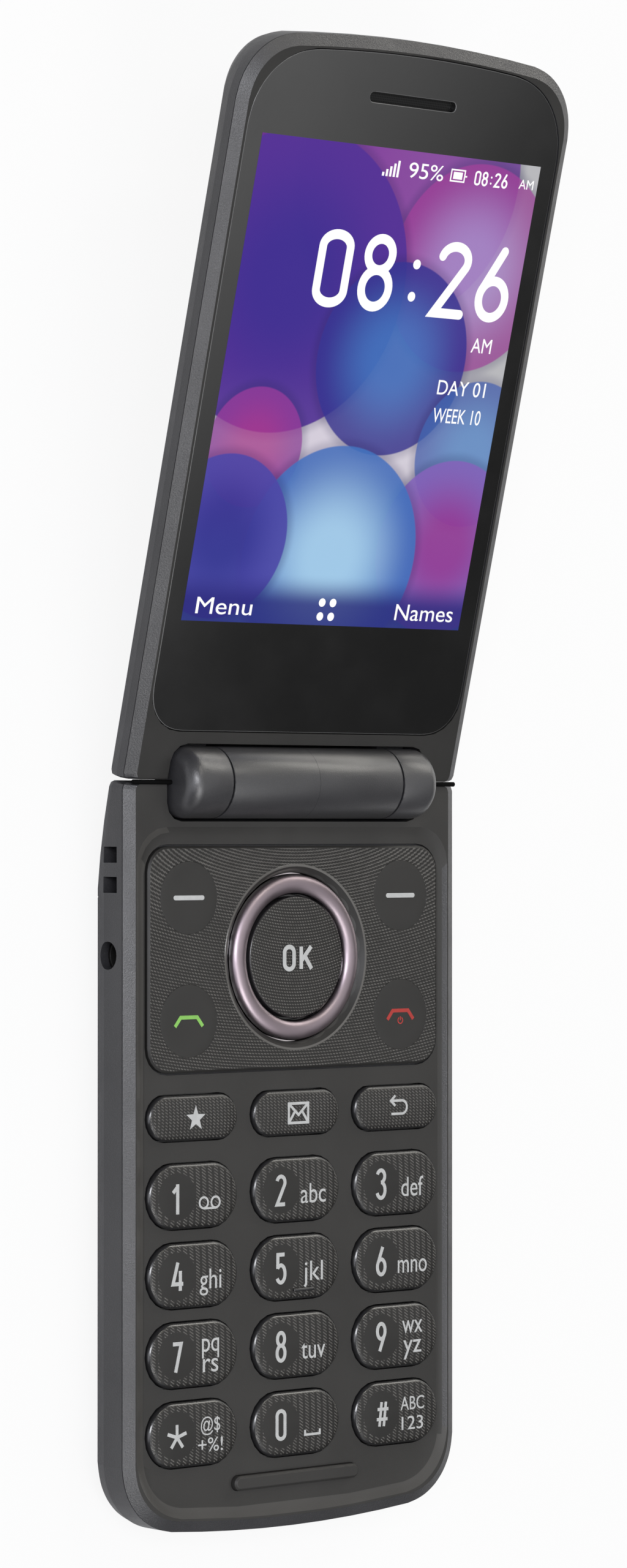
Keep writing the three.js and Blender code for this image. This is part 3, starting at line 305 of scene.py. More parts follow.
def patterned_key(name, numbered=False):
    """Key tops: columns of slanted strokes, wider on the number keys, which are plain round their digits."""
    tree = Tree(name, "base", Specular_IOR_Level=0.45)
    stroke = strokes(tree, (1.05, 0.425) if numbered else (0.62, 0.42), 0.28, 0.16, 0.66)
    if numbered:
        column, row = COLUMNS[2], NUMBER_ROWS[0] - NUMBER_ROWS[1]
        across = tree.math("WRAP", tree.x, column / 2, -column / 2)
        along = tree.math("WRAP", tree.math("SUBTRACT", tree.y, NUMBER_ROWS[0]), row / 2, -row / 2)
        away = tree.away(FIELD_X, 0, across, along)
        stroke = tree.times(stroke, tree.range(away, FIELD_RADIUS - 0.03, FIELD_RADIUS + 0.03))
    return raised(tree, stroke, SOOT, 0.36, grey(0.11, WARM))


def glossy_black(name, half, value=0.006, roughness=0.12):
    """A hard-coated window over black print, with the faintest dust and wipe marks."""
    tree = Tree(name, half, Specular_IOR_Level=0.8, Coat_Weight=1.0, Coat_Roughness=0.03)
    handled(tree, grey(value), roughness, 0.05, 0.06, 30)
    tree.paint_over(tree.range(tree.noise(0.35, 2), 0.74, 0.82, 0, 0.5), grey(value * 4))
    return tree.material


def brushed(name, half, color, roughness):
    """Metal with a fine lengthwise grain."""
    tree = Tree(name, half, Metallic=1.0)
    handled(tree, color, roughness, 0.06, 0.06, 9)
    tree.bump(tree.noise(0.5, 3, 0.6, LENGTHWISE), 0.006)
    return tree.material


def inked(name, color):
    """Printed legends: ink, slightly uneven."""
    tree = Tree(name, "base", Specular_IOR_Level=0.3)
    handled(tree, color, 0.5, 0.06, 0.05, 1.2)
    tree.bump(tree.noise(0.2, 2), 0.01)
    return tree.material


def circuit_board(name, half):
    """Green solder mask over tinned tracks, with bare gold pads here and there."""
    tree = Tree(name, half, Specular_IOR_Level=0.5)
    handled(tree, (0.012, 0.085, 0.035, 1), 0.32)
    tracks = tree.range(tree.math("PINGPONG", tree.times(tree.noise(6, 0), 18), 0.5), 0.36, 0.44)
    tree.paint_over(tree.times(tracks, 0.6), (0.03, 0.17, 0.06, 1))
    pads = tree.range(tree.cells(1.9), 0.24, 0.19)
    tree.paint_over(pads, (0.62, 0.42, 0.14, 1))
    tree.bump(tree.math("MAXIMUM", tracks, pads), 0.03)
    return tree.material


def foil_pouch(name):
    """The battery's crinkled foil."""
    tree = Tree(name, "base", Metallic=0.8)
    handled(tree, (0.42, 0.43, 0.45, 1), 0.36, 0.12, 0.05)
    tree.bump(tree.noise(3.5, 4, 0.6), 0.08)
    return tree.material


# ---------------- shapes
RECORD = frame["record"]
SLOTS = {part["node"]: part["material_slot"] for part in RECORD["subparts"]}
BODIES = {node: body for body, nodes in RECORD["behaviour"]["bodies"].items() for node in nodes}


def on(body, slot, *pieces):
    """Pieces with no node of their own ride on a body. slot is not used."""
    for piece in pieces:
        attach(piece, body)


def in_place_of(node, piece):
    """A piece stands for a CAD node, which is hidden, and rides on its body."""
    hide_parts(node)
    on(BODIES[node], SLOTS[node], piece)


def dressed(material, *nodes):
    """CAD nodes that keep their shape get a material in each of their slots."""
    for node in nodes:
        piece = frame["nodes"][node]
        if not piece.material_slots:
            piece.data.materials.append(material)
        for held in piece.material_slots:
            held.material = material


def added(name, data):
    """A new object in the scene."""
    thing = bpy.data.objects.new(name, data)
    bpy.context.scene.collection.objects.link(thing)
    return thing


def finished(bm, name, materials, angle=35):
    """A piece at the origin, smooth up to that angle."""
    mesh = bpy.data.meshes.new(name)
    bm.to_mesh(mesh)
    bm.free()
    mesh.shade_smooth()
    mesh.set_sharp_from_angle(angle=math.radians(angle))
    for material in materials:
        mesh.materials.append(material)
    return added(name, mesh)


def from_bmesh(bm, name, materials, place=BASE_PLACE, angle=35):
    """Turns millimetres in the frame of a half into a finished piece."""
    bmesh.ops.scale(bm, vec=(MM, MM, MM), verts=bm.verts)
    bmesh.ops.recalc_face_normals(bm, faces=bm.faces)
    bm.transform(place)
    return finished(bm, name, materials, angle)


def add_facets(bm, to_half, kind):
    """Splits the ribs between the facets of a rounded corner, so that its outline runs smoothly: the upright
    ribs of a "plate", or all the ribs at the far "ends" of a case."""
    ribs, narrowest = [], []
    for edge in bm.edges:
        if not edge.is_manifold or not FLATTEST_RIB < edge.calc_face_angle() < SHARPEST_RIB:
            continue
        middle = to_half @ ((edge.verts[0].co + edge.verts[1].co) / 2) / MM
        rise = abs((to_half.to_3x3() @ (edge.verts[1].co - edge.verts[0].co).normalized()).z)
        widths = [face.calc_area() / edge.calc_length() / MM for face in edge.link_faces]
        if kind == "plate":
            wanted = rise > 0.999 and min(widths) > SLIVER
        else:
            at_end = abs(middle.x) > CORNER_X and abs(middle.y) > CORNER_Y
            wanted = rise > 0.05 and max(widths) < WIDEST_FACET and at_end
        if wanted:
            ribs.append(edge)
            narrowest.append(min(widths))
    if kind == "plate":
        reach = dict(offset=0.48 * min(narrowest) * MM, segments=4)
    else:
        reach = dict(offset=46, offset_type="PERCENT", segments=3)
    bmesh.ops.bevel(bm, geom=ribs, affect="EDGES", profile=0.5, material=-1, **reach)


def refined(node, name, materials, bevel=0.08, angle=32, choose=None, edge=-1, rounder=None):
    """A CAD node's own shape with its loose triangles merged, its edges eased and its curves smooth. choose
    picks a material's number from a face's middle, in millimetres in the node's half, and its normal. edge is
    that number for the eased edges. rounder is the kind of corner that gets more facets."""
    bm = bmesh.new()
    bm.from_mesh(frame["nodes"][node].data)
    bmesh.ops.remove_doubles(bm, verts=bm.verts, dist=0.002 * MM)
    bmesh.ops.dissolve_limit(bm, angle_limit=math.radians(0.6), verts=bm.verts, edges=bm.edges)
    half = LID_PLACE if BODIES[node] == "lid" else BASE_PLACE
    to_half = half.inverted()
    if rounder:
        add_facets(bm, to_half, rounder)
    if choose:
        for face in bm.faces:
            middle = (to_half @ face.calc_center_median()) / MM
            face.material_index = choose(middle, to_half.to_3x3() @ face.normal)
    piece = finished(bm, name, materials, angle)
    if bevel:
        ease = piece.modifiers.new("eased_edges", "BEVEL")
        ease.width = bevel * MM
        ease.segments = 2
        ease.limit_method = "ANGLE"
        ease.angle_limit = math.radians(angle)
        ease.harden_normals = True
        ease.material = edge
    in_place_of(node, piece)


def stadium(bm, width, height, z, x=0.0, y=0.0, segments=64):
    """A flat pill facing up: a circle with its right and left halves moved apart. Returns its face."""
    turn = Matrix.Rotation(math.pi / segments, 4, "Z")
    made = bmesh.ops.create_circle(bm, cap_ends=True, radius=height / 2, segments=segments, matrix=turn)
    for side in (-1, 1):
        half = [v for v in made["verts"] if v.co.x * side > 0]
        bmesh.ops.translate(bm, vec=(side * (width - height) / 2, 0, 0), verts=half)
    bmesh.ops.translate(bm, vec=(x, y, z), verts=made["verts"])
    return made["verts"][0].link_faces[0]


def lift(bm, face, steps):
    """Raises a face by pairs of inset and rise, with a wall or a slope behind each. Returns the last face."""
    for inset, rise in steps:
        if inset:
            bmesh.ops.inset_region(bm, faces=[face], thickness=inset, depth=0, use_even_offset=True)
            bmesh.ops.translate(bm, vec=(0, 0, rise), verts=face.verts)
        else:
            made = bmesh.ops.extrude_face_region(bm, geom=[face])
            top = [item for item in made["geom"] if isinstance(item, bmesh.types.BMFace)][0]
            bmesh.ops.translate(bm, vec=(0, 0, rise), verts=top.verts)
            face = top
    return face


def rounding(inward, rise, steps):
    """Points of a quarter of an ellipse from a wall to a top, as how far in and how far up."""
    turns = [math.pi / 2 * k / steps for k in range(steps + 1)]
    return [(inward * (1 - math.cos(a)), rise * math.sin(a)) for a in turns]


def rounded_rim(inward, rise, steps):
    """Pairs of inset and rise that follow such a quarter."""
    points = rounding(inward, rise, steps)
    return [(after[0] - before[0], after[1] - before[1]) for before, after in zip(points, points[1:])]


def spun(name, profile, center, materials, choose, place=BASE_PLACE, angle=28):
    """A closed profile of (radius, height) points turned about an upright axis. choose picks materials."""
    bm = bmesh.new()
    points = [bm.verts.new((center[0] + r, center[1], z)) for r, z in profile]
    edges = [bm.edges.new(pair) for pair in zip(points, points[1:] + points[:1])]
    bmesh.ops.spin(bm, geom=points + edges, cent=(*center, 0), axis=(0, 0, 1), angle=2 * math.pi,
                   steps=TURN_STEPS, use_merge=True)
    bmesh.ops.remove_doubles(bm, verts=bm.verts, dist=0.001)
    for face in bm.faces:
        face.material_index = choose(face.calc_center_median())
    return from_bmesh(bm, name, materials, place, angle)


# ---------------- cases
spray, fine_spray, moulded, steel, board = {}, {}, {}, {}, {}
for half in ("base", "lid"):
    spray[half] = sprayed("spray_" + half, half)
    fine_spray[half] = sprayed("fine_spray_" + half, half, COARSE, 0.37, 0.17, 0.034, 0.5)
    moulded[half] = painted("moulded_" + half, half, NEAR_BLACK, 0.5, 0.2, 0.01)
    steel[half] = brushed("steel_" + half, half, STEEL, 0.32)
    board[half] = circuit_board("board_" + half, half)
paint_base = painted("paint_base", "base")
# The lid's paint is the base's paint made darker: painted shade on the lid.
lid_paint_painted_shade = painted("lid_paint_painted_shade", "lid", NEAR_BLACK)
lens_black = glossy_black("lens_black", "lid")
panel_finish = patterned_panel("panel_finish")
# A paler paint for the lit slopes inside the rim: a painted highlight.
lit_slope_painted_highlight = painted("lit_slope_painted_highlight", "base", grey(0.046, WARM), 0.36, 0.12, 0.004)
smooth_base = painted("smooth_base", "base", SOOT, 0.52, 0.12, 0.004)
# A glossy lip painted paler: a painted highlight round the ring's hole.
glossy_lip_painted_highlight = painted("glossy_lip_painted_highlight", "base", grey(0.09, WARM), 0.2, 0.12, 0.003)
rubber = painted("rubber", "base", grey(0.02, WARM), 0.6, 0.25, 0.01)
silicone = painted("silicone", "base", grey(0.22, COOL), 0.5, 0.3, 0.006)
display_off = glossy_black("display_off", "lid", 0.012, 0.2)
# The window's eased edges painted paler: a painted highlight round the lens.
lens_edge_painted_highlight = painted("lens_edge_painted_highlight", "lid", grey(0.1), 0.25, 0.2, 0.003)


def chamfer_or_barrel(middle, normal):
    """The chamfer round the rim, everything below it and all that turns on the hinge axis get the spray."""
    turned = middle.z > RIDGE + 0.1
    outside = max(abs(middle.x), abs(middle.y)) > CHAMFER_START
    sloped = PARTING - 0.02 < middle.z < RIDGE and abs(normal.z) < CHAMFER_LEVEL and outside
    return int(turned or sloped or middle.z < PARTING)


def rim_and_barrel(middle, normal):
    """As chamfer_or_barrel, with a painted highlight: a paler slope between the keypad floor and the left and
    lower rim, where it faces the light.
    """
    inner = FLOOR + 0.02 < middle.z < RIDGE + 0.02 and SLOPE_LOW < normal.z < SLOPE_HIGH
    toward_keys = normal.x * middle.x + normal.y * (middle.y - KEYPAD_MIDDLE) < 0
    lit = normal.x > 0.03 or normal.y > 0.03
    return 2 if inner and toward_keys and lit else chamfer_or_barrel(middle, normal)


refined("front_housing", "keypad_housing", [paint_base, spray["base"], lit_slope_painted_highlight], angle=14,
        choose=rim_and_barrel, rounder="ends")
refined("rear_housing", "base_side_wall", [spray["base"]], rounder="ends")
refined("battery_cover", "battery_cover_skin", [spray["base"]], rounder="ends")
refined("nav_panel", "navigation_panel", [panel_finish, smooth_base],
        choose=lambda middle, normal: int(normal.z < PANEL_LEVEL))


def hole_bezel():
    """The smooth slope round the navigation ring, with a fine glossy lip against the panel's pattern, painted
    paler as a highlight.
    """
    inner, outer, foot, top = HOLE_LIP - 1.0, HOLE_LIP + 0.18, PANEL_UNDER + 0.05, PANEL_FACE
    profile = [(inner, foot), (inner, top - 0.8), (inner + 0.06, top - 0.74), (HOLE_LIP - 0.18, top - 0.01),
               (HOLE_LIP, top + 0.03), (HOLE_LIP + 0.1, top + 0.035), (outer, top - 0.02), (outer, foot)]
    return spun("ring_hole_bezel", profile, (0, RING_Y), [smooth_base, glossy_lip_painted_highlight],
                lambda middle: int(middle.z > top - 0.06))


def earpiece_weave():
    """Dark woven wire, darkest where the wires cross."""
    tree = Tree("earpiece_weave", "lid", Metallic=0.6, Specular_IOR_Level=0.3)
    across, along = (tree.math("PINGPONG", tree.math("DIVIDE", way, 0.3), 0.5) for way in (tree.x, tree.y))
    weave = tree.times(across, along)
    tree.set(Base_Color=tree.mix(tree.range(weave, 0.05, 0.2), grey(0.02), grey(0.002)), Roughness=0.5)
    tree.bump(weave, 0.05)
    return tree.material


on("base", "panel", hole_bezel())
refined("closing_bumper", "bumper_bar", [rubber])
refined("lid_front", "lid_frame", [lid_paint_painted_shade, spray["lid"]], choose=chamfer_or_barrel, rounder="ends")
refined("lid_cover", "lid_outer_cover", [spray["lid"]], rounder="ends")
refined("screen_lens", "screen_window", [lens_black, lens_edge_painted_highlight], bevel=0.12, edge=1, rounder="plate")
refined("earpiece_mesh", "earpiece_grille", [earpiece_weave()], bevel=0)
refined("outer_lens", "outer_display_window", [lens_black], rounder="plate")
camera_metal = brushed("camera_rim_metal", "lid", (0.3, 0.3, 0.32, 1), 0.24)
refined("camera_ring", "camera_rim", [camera_metal], bevel=0.05)
refined("camera_glass", "camera_window", [glossy_black("camera_coating", "lid", 0.004, 0.05)], bevel=0.03)
refined("volume_key", "volume_rocker", [painted("volume_paint", "base", grey(0.022, COOL), 0.38)])
refined("usb_socket", "charging_shell", [steel["base"]], bevel=0.04)
refined("headphone_socket", "headphone_barrel", [moulded["base"]], bevel=0.05)
dressed(silicone, "key_mat")
dressed(board["base"], "main_board")
dressed(board["lid"], "lid_board")
dressed(foil_pouch("battery_foil"), "battery")
dressed(moulded["base"], "loudspeaker", "microphone")
dressed(moulded["lid"], "earpiece", "camera_module")
dressed(steel["base"], "vibration_motor", "card_socket", "hinge_cartridge", "hinge_bushing",
        "screw_upper_left", "screw_upper_right", "screw_lower_left", "screw_lower_right")
dressed(steel["lid"], "lid_magnet", "hinge_shaft")
dressed(display_off, "main_display", "outer_display")


def turned_skin(name, half, profile, side, material):
    """A smooth skin turned on the hinge axis. The profile runs outward from the middle of the phone."""
    place = LID_PLACE if half == "lid" else BASE_PLACE
    piece = spun(name, profile, (0, 0), [material], lambda middle: 0,
                 place @ Matrix.Rotation(side * math.pi / 2, 4, "Y"), 40)
    on(half, "case", piece)


def barrel_edge(end, way):
    """The eased edge at a skin's end: from its side to its face where way is 1, and back where it is -1."""
    radius = BARREL_RADIUS
    return [(radius, end - way * 0.2), (radius - 0.06, end - way * 0.06), (radius - 0.2, end)][::way]


shoulder = [(BARREL_RADIUS - across, KNUCKLE_END - KNUCKLE_ROUND + along)
            for across, along in rounding(KNUCKLE_ROUND, KNUCKLE_ROUND, 12)]
knuckle_cap = [(0.02, KNUCKLE_END + 0.02), (0.02, KNUCKLE_END - 1.0), (SKIN_INSIDE, KNUCKLE_END - 1.6)]
knuckle = [(SKIN_INSIDE, KNUCKLE_START)] + barrel_edge(KNUCKLE_START, -1) + shoulder + knuckle_cap
barrel = [(SKIN_INSIDE, 0.02), (BARREL_RADIUS, 0.02), *barrel_edge(BARREL_END, 1), (SKIN_INSIDE, BARREL_END)]
# Near-black rods in the slits between each knuckle and the case's end: painted shade that fills the slits.
slit_shade_rod = [(0.32, KNUCKLE_END + 0.06), (0.32, CASE_END - 0.8), (0.28, CASE_END - 0.74),
              (0.02, CASE_END - 0.7)]
slit_painted_shade = dull_black("slit_painted_shade", "base")
for side, word in ((-1, "left"), (1, "right")):
    turned_skin("knuckle_skin_" + word, "lid", knuckle, side, fine_spray["lid"])
    turned_skin("barrel_skin_" + word, "base", barrel, side, fine_spray["base"])
    turned_skin("slit_shade_rod_" + word, "base", slit_shade_rod, side, slit_painted_shade)


# ---------------- keys
places = {}


def pressed_key(node, ending, place, size, rim, under, top, materials, crown=0.14):
    """A key as one moulding: a plunger, a flange that keeps it in, and a cap with a rounded rim. under is the
    underside of the plate it comes through, and crown how far its top bulges."""
    places[node] = x, y = place
    width, height = size
    rim_width, rim_height = rim
    flange, flange_foot, flange_thick, foot = 0.5, under - 0.65, 0.5, under - 0.3
    bm = bmesh.new()
    lift(bm, stadium(bm, width + 2 * flange, height + 2 * flange, flange_foot, x, y), [(0, flange_thick)])
    cap = stadium(bm, width, height, foot, x, y)
    cap = lift(bm, cap, [(0, top - crown - rim_height - foot)] + rounded_rim(rim_width, rim_height, 6))
    lift(bm, cap, [(height * 0.12, crown * 0.6), (height * 0.14, crown * 0.4)])
    plunger = stadium(bm, PLUNGER_SIZE, PLUNGER_SIZE, PLUNGER_END, x, y, 32)
    lift(bm, plunger, [(0, under - 0.4 - PLUNGER_END)])
    face_height = top - crown - 0.3 * rim_height
    for face in bm.faces:
        if face.calc_center_median().z > face_height and face.normal.z > 0.8:
            face.material_index = 1
    in_place_of(node, from_bmesh(bm, node + ending, materials, angle=40))


def rim_plastic():
    """The dark lacquered sides of the keys."""
    tree = Tree("key_rim_gloss", "base", Specular_IOR_Level=0.6, Coat_Weight=0.6, Coat_Roughness=0.16)
    handled(tree, grey(0.011, COOL), 0.3)
    tree.bump(tree.noise(0.25, 2), 0.008)
    return tree.material


rim_gloss = rim_plastic()
number_top = patterned_key("number_key_top", numbered=True)
function_top = patterned_key("function_key_top")
pad_smooth = painted("smooth_pad", "base", SOOT, 0.5, 0.12, 0.006)
ok_top = patterned_ok("ok_key_top")
legend_ink = inked("legend_ink", grey(0.4, (0.985, 1.0, 0.995)))
call_green = inked("call_green", (0.19, 0.42, 0.09, 1))
end_red = inked("end_red", (0.33, 0.035, 0.03, 1))

# Each number key: its node, its digit, and its letters as lines of (text, width)
NUMBER_KEYS = [
    ("key_1", "1", ()), ("key_2", "2", (("abc", 4.4),)), ("key_3", "3", (("def", 4.0),)),
    ("key_4", "4", (("ghi", 3.7),)), ("key_5", "5", (("jkl", 3.4),)), ("key_6", "6", (("mno", 5.3),)),
    ("key_7", "7", (("pq", 2.9), ("rs", 2.6))), ("key_8", "8", (("tuv", 4.2),)),
    ("key_9", "9", (("wx", 3.7), ("yz", 3.3))), ("key_star", "*", (("@$", 3.3), ("+%!", 4.2))),
    ("key_0", "0", ()), ("key_hash", "#", (("ABC", 4.3), ("123", 3.9))),
]
for i, (node, _, _) in enumerate(NUMBER_KEYS):
    pressed_key(node, "_cap", (COLUMNS[i % 3], NUMBER_ROWS[i // 3]), KEY_SIZE, KEY_RIM, FLOOR_UNDER, KEY_FACE,
                [rim_gloss, number_top])
for x, node in zip(COLUMNS, ("favourite_key", "message_key", "back_key")):
    pressed_key(node, "_cap", (x, FUNCTION_ROW), FUNCTION_KEY_SIZE, FUNCTION_KEY_RIM, FLOOR_UNDER, KEY_FACE,
                [rim_gloss, function_top])
for y, *pair in zip(DISC_ROWS, ("soft_key_left", "call_key"), ("soft_key_right", "end_key")):
    for x, node in zip((-DISC_X, DISC_X), pair):
        pressed_key(node, "_pad", (x, y), DISC_SIZE, DISC_RIM, PANEL_UNDER, PANEL_FACE,
                    [pad_smooth, pad_smooth], crown=0.01)


def ok_button():
    """The round middle key, faintly domed, with a pattern like the panel's on it."""
    bm = bmesh.new()
    flange, across, foot, wall = 17.8, 16.3, -2.5, 2.05
    lift(bm, stadium(bm, flange, flange, foot - 0.2, 0, RING_Y, 96), [(0, 0.28)])
    cap = lift(bm, stadium(bm, across, across, foot, 0, RING_Y, 96), [(0, wall)] + rounded_rim(0.35, 0.25, 4))
    lift(bm, cap, [(1.5, 0.04), (2.5, 0.04), (2.2, 0.02)])
    lift(bm, stadium(bm, PLUNGER_SIZE, PLUNGER_SIZE, PLUNGER_END, 0, RING_Y, 32), [(0, 1)])
    for face in bm.faces:
        if face.calc_center_median().z > -0.3:
            face.material_index = 1
    return from_bmesh(bm, "ok_key_cap", [rim_gloss, ok_top])


def ring_metal(name, color, roughness, grain):
    """Mauve-grey anodised metal with a fine blasted grain."""
    tree = Tree(name, "base", Metallic=1.0)
    handled(tree, color, roughness, 0.06, 0.05, 8)
    tree.bump(tree.noise(0.16, 2), grain)
    return tree.material


ring_metals = [ring_metal("ring_satin", (0.33, 0.275, 0.305, 1), 0.42, 0.006),
               ring_metal("ring_polish", (0.6, 0.56, 0.58, 1), 0.06, 0.001)]


def ring():
    """The navigation ring: a satin bead between two narrow polished edges, over a flange that keeps it in."""
    outer, inner, foot, flange, wall = 11.2, 8.45, -2.0, -1.6, -0.95
    bead_in, bead_out, bead_foot, bead_rise = inner + 0.16, outer - 0.16, -0.66, 0.76
    profile = [(inner, foot), (inner, wall), (bead_in, bead_foot)]
    profile += [(bead_in + (bead_out - bead_in) * (1 - math.cos(a)) / 2, bead_foot + bead_rise * math.sin(a))
                for a in (math.pi * k / 16 for k in range(1, 16))]
    profile += [(bead_out, bead_foot), (outer, wall)]
    profile += [(outer, flange), (outer + 1.0, flange), (outer + 1.0, foot)]

    def polished(middle):
        away = math.hypot(middle.x, middle.y - RING_Y)
        return int(middle.z < bead_foot + 0.01 and not bead_in + 0.01 < away < bead_out - 0.01)

    return spun("navigation_ring", profile, (0, RING_Y), ring_metals, polished)


def plungers():
    """Four feet under the ring that press the key mat."""
    bm = bmesh.new()
    out, across = 10.4, 1.6
    for x, y in ((out, 0), (-out, 0), (0, out), (0, -out)):
        lift(bm, stadium(bm, across, across, PLUNGER_END, x, RING_Y + y, 16), [(0, 0.9)])
    return from_bmesh(bm, "ring_plungers", [pad_smooth])


in_place_of("ok_key", ok_button())
in_place_of("nav_ring", ring())
on("nav_ring", "ring", plungers())


# ---------------- legends
STROKE_THICK = 0.06
TEXT_DEPTH = 0.1
SHARPEST_MITRE = 0.45  # cosine of half the turn
SAME_POINT = 0.0001
CROSSING_STEP = 0.003  # where strokes cross, one lies over the other


def text_mesh(text):
    """A line of text as a closed mesh TEXT_DEPTH thick, in the font's own units."""
    curve = bpy.data.curves.new("line", "FONT")
    curve.body = text
    curve.extrude = TEXT_DEPTH / 2
    curve.resolution_u = 6
    holder = added("line", curve)
    bpy.context.view_layer.update()
    mesh = bpy.data.meshes.new_from_object(holder)
    bpy.data.objects.remove(holder)
    return mesh


def extent(mesh, axis):
    """The least and the greatest coordinate along an axis."""
    values = [v.co[axis] for v in mesh.vertices]
    return min(values), max(values)


def lettering(name, lines, x, y, height, top, material, place, like, pitch, thick=STROKE_THICK):
    """Lines of (text, width) centred on x. y is the first line's middle. The letter like is height high."""
    low, high = extent(text_mesh(like), 1)
    scale = height / (high - low)
    whole = bmesh.new()
    for i, (line, width) in enumerate(lines):
        mesh = text_mesh(line)
        left, right = extent(mesh, 0)
        size = Matrix.Diagonal((width / (right - left), scale, thick / TEXT_DEPTH, 1))
        spot = Matrix.Translation((x, y - height / 2 - i * pitch, top - thick / 2))
        mesh.transform(spot @ size @ Matrix.Translation((-(left + right) / 2, 0, 0)))
        whole.from_mesh(mesh)
    bmesh.ops.remove_doubles(whole, verts=whole.verts, dist=0.0005)
    return from_bmesh(whole, name, [material], place, angle=25)


def bow(x, y, across, up, start=0, end=360):
    """Points of an elliptical bow about (x, y), from one angle to another in degrees."""
    steps = round(abs(end - start) / 10) + 2
    turns = [math.radians(start + (end - start) * i / steps) for i in range(steps + 1)]
    return [(x + across * math.cos(a), y + up * math.sin(a)) for a in turns]


# Strokes of the condensed numerals, one unit high and mostly NUMERAL_WIDE wide along each stroke's middle
NUMERAL_WIDE = 0.37
NUMERALS = {
    "0": [bow(0.185, 0.815, 0.185, 0.185, 180, 0) + bow(0.185, 0.185, 0.185, 0.185, 0, -180) + [(0, 0.815)]],
    "1": [[(0.21, 1.06), (0.21, 0)], [(0, 0.76), (0.2, 0.96)]],
    "2": [bow(0.185, 0.79, 0.185, 0.21, 165, -28) + [(0, 0), (0.37, 0)]],
    "3": [bow(0.175, 0.78, 0.18, 0.22, 160, -90), bow(0.175, 0.275, 0.195, 0.285, 90, -160)],
    "4": [[(0.22, 1), (0, 0.24), (0.46, 0.24)], [(0.33, 0.7), (0.33, 0)]],
    "5": [[(0.35, 1), (0.04, 1), (0.03, 0.5)], bow(0.175, 0.31, 0.195, 0.31, 140, -150)],
    "6": [[(0.26, 1), (0.03, 0.42)], bow(0.185, 0.275, 0.185, 0.275)],
    "7": [[(0, 1), (0.37, 1), (0.12, 0)]],
    "8": [bow(0.185, 0.77, 0.165, 0.23), bow(0.185, 0.27, 0.185, 0.27)],
    "9": [[(0.11, 0), (0.34, 0.58)], bow(0.185, 0.725, 0.185, 0.275)],
    "*": [[(0.185, 0.5), (0.185 + 0.3 * math.cos(a), 0.5 + 0.3 * math.sin(a))]
          for a in (math.pi / 2 + k * math.pi * 0.4 for k in range(5))],
    "#": [[(0.12, 0.16), (0.2, 0.84)], [(0.28, 0.16), (0.36, 0.84)], [(0.02, 0.36), (0.42, 0.36)],
          [(0.05, 0.64), (0.45, 0.64)]],
    ":": [[(0.1, 0.2), (0.1, 0.201)], [(0.1, 0.68), (0.1, 0.681)]],
    "O": [bow(0.26, 0.74, 0.26, 0.26, 180, 0) + bow(0.26, 0.26, 0.26, 0.26, 0, -180) + [(0, 0.74)]],
    "K": [[(0, 1), (0, 0)], [(0.55, 1), (0.04, 0.4)], [(0.2, 0.58), (0.57, 0)]],
}
WIDTHS = {":": 0.2, "O": 0.52, "K": 0.57}


def stroked(name, paths, width, top, material, place, round_ends=False):
    """Flat strokes of one width along paths of points, each a ribbon with mitred turns."""
    bm = bmesh.new()
    for order, path in enumerate(paths):
        layer = top - STROKE_THICK + order * CROSSING_STEP
        path = [p for i, p in enumerate(path) if i == 0 or math.dist(p, path[i - 1]) > SAME_POINT]
        closed = math.dist(path[0], path[-1]) < SAME_POINT
        if closed:
            path = path[:-1]
        joined = [path[-1], *path, path[0]] if closed else [None, *path, None]
        rows = []
        for before, point, after in zip(joined, joined[1:], joined[2:]):
            runs = [Vector(b) - Vector(a) for a, b in ((before, point), (point, after)) if a and b]
            runs = [run.normalized() for run in runs]
            along = (runs[0] + runs[-1]).normalized()
            reach = width / 2 / max(along.dot(runs[0]), SHARPEST_MITRE)
            side = Vector((-along.y, along.x)) * reach
            edges = [(point[0] + k * side.x, point[1] + k * side.y, layer) for k in (-1, 1)]
            rows.append([bm.verts.new(edge) for edge in edges])
        pairs = list(zip(rows, rows[1:])) + ([(rows[-1], rows[0])] if closed else [])
        faces = [bm.faces.new((a[0], b[0], b[1], a[1])) for a, b in pairs]
        if round_ends and not closed:
            for point in (path[0], path[-1]):
                spot = bmesh.ops.create_circle(bm, cap_ends=True, radius=width / 2, segments=20,
                                               matrix=Matrix.Translation((*point, layer + 0.001)))
                faces += list(spot["verts"][0].link_faces)
    made = bmesh.ops.extrude_face_region(bm, geom=list(bm.faces))
    raised_verts = [item for item in made["geom"] if isinstance(item, bmesh.types.BMVert)]
    bmesh.ops.translate(bm, vec=(0, 0, STROKE_THICK), verts=raised_verts)
    return from_bmesh(bm, name, [material], place, 25)


def numerals(name, text, x, y, height, width, top, material, place=BASE_PLACE, gap=0.22, stretch=1.0,
             round_ends=False):
    """Condensed numerals drawn with strokes of one width, centred on (x, y)."""
    size = height - width
    paths = []
    pen = 0.0
    for character in text:
        wide = WIDTHS.get(character, NUMERAL_WIDE) * stretch
        paths += [[(pen + px * stretch * size, py * size) for px, py in path] for path in NUMERALS[character]]
        pen += (wide + gap) * size
    pen -= gap * size
    paths = [[(px + x - pen / 2, py + y - size / 2) for px, py in path] for path in paths]
    return stroked(name, paths, width, top, material, place, round_ends)


LEGEND_TOP = KEY_FACE + 0.025
PAD_TOP = PANEL_FACE + 0.03
OK_TOP = 0.03


def legend(body, name, width, paths, material=legend_ink, top=LEGEND_TOP, round_ends=False):
    """A mark drawn with strokes of one width, from paths about the middle of its key."""
    middle = places[body]
    paths = [[(middle[0] + x, middle[1] + y) for x, y in path] for path in paths]
    on(body, "key", stroked(name, paths, width, top, material, BASE_PLACE, round_ends))


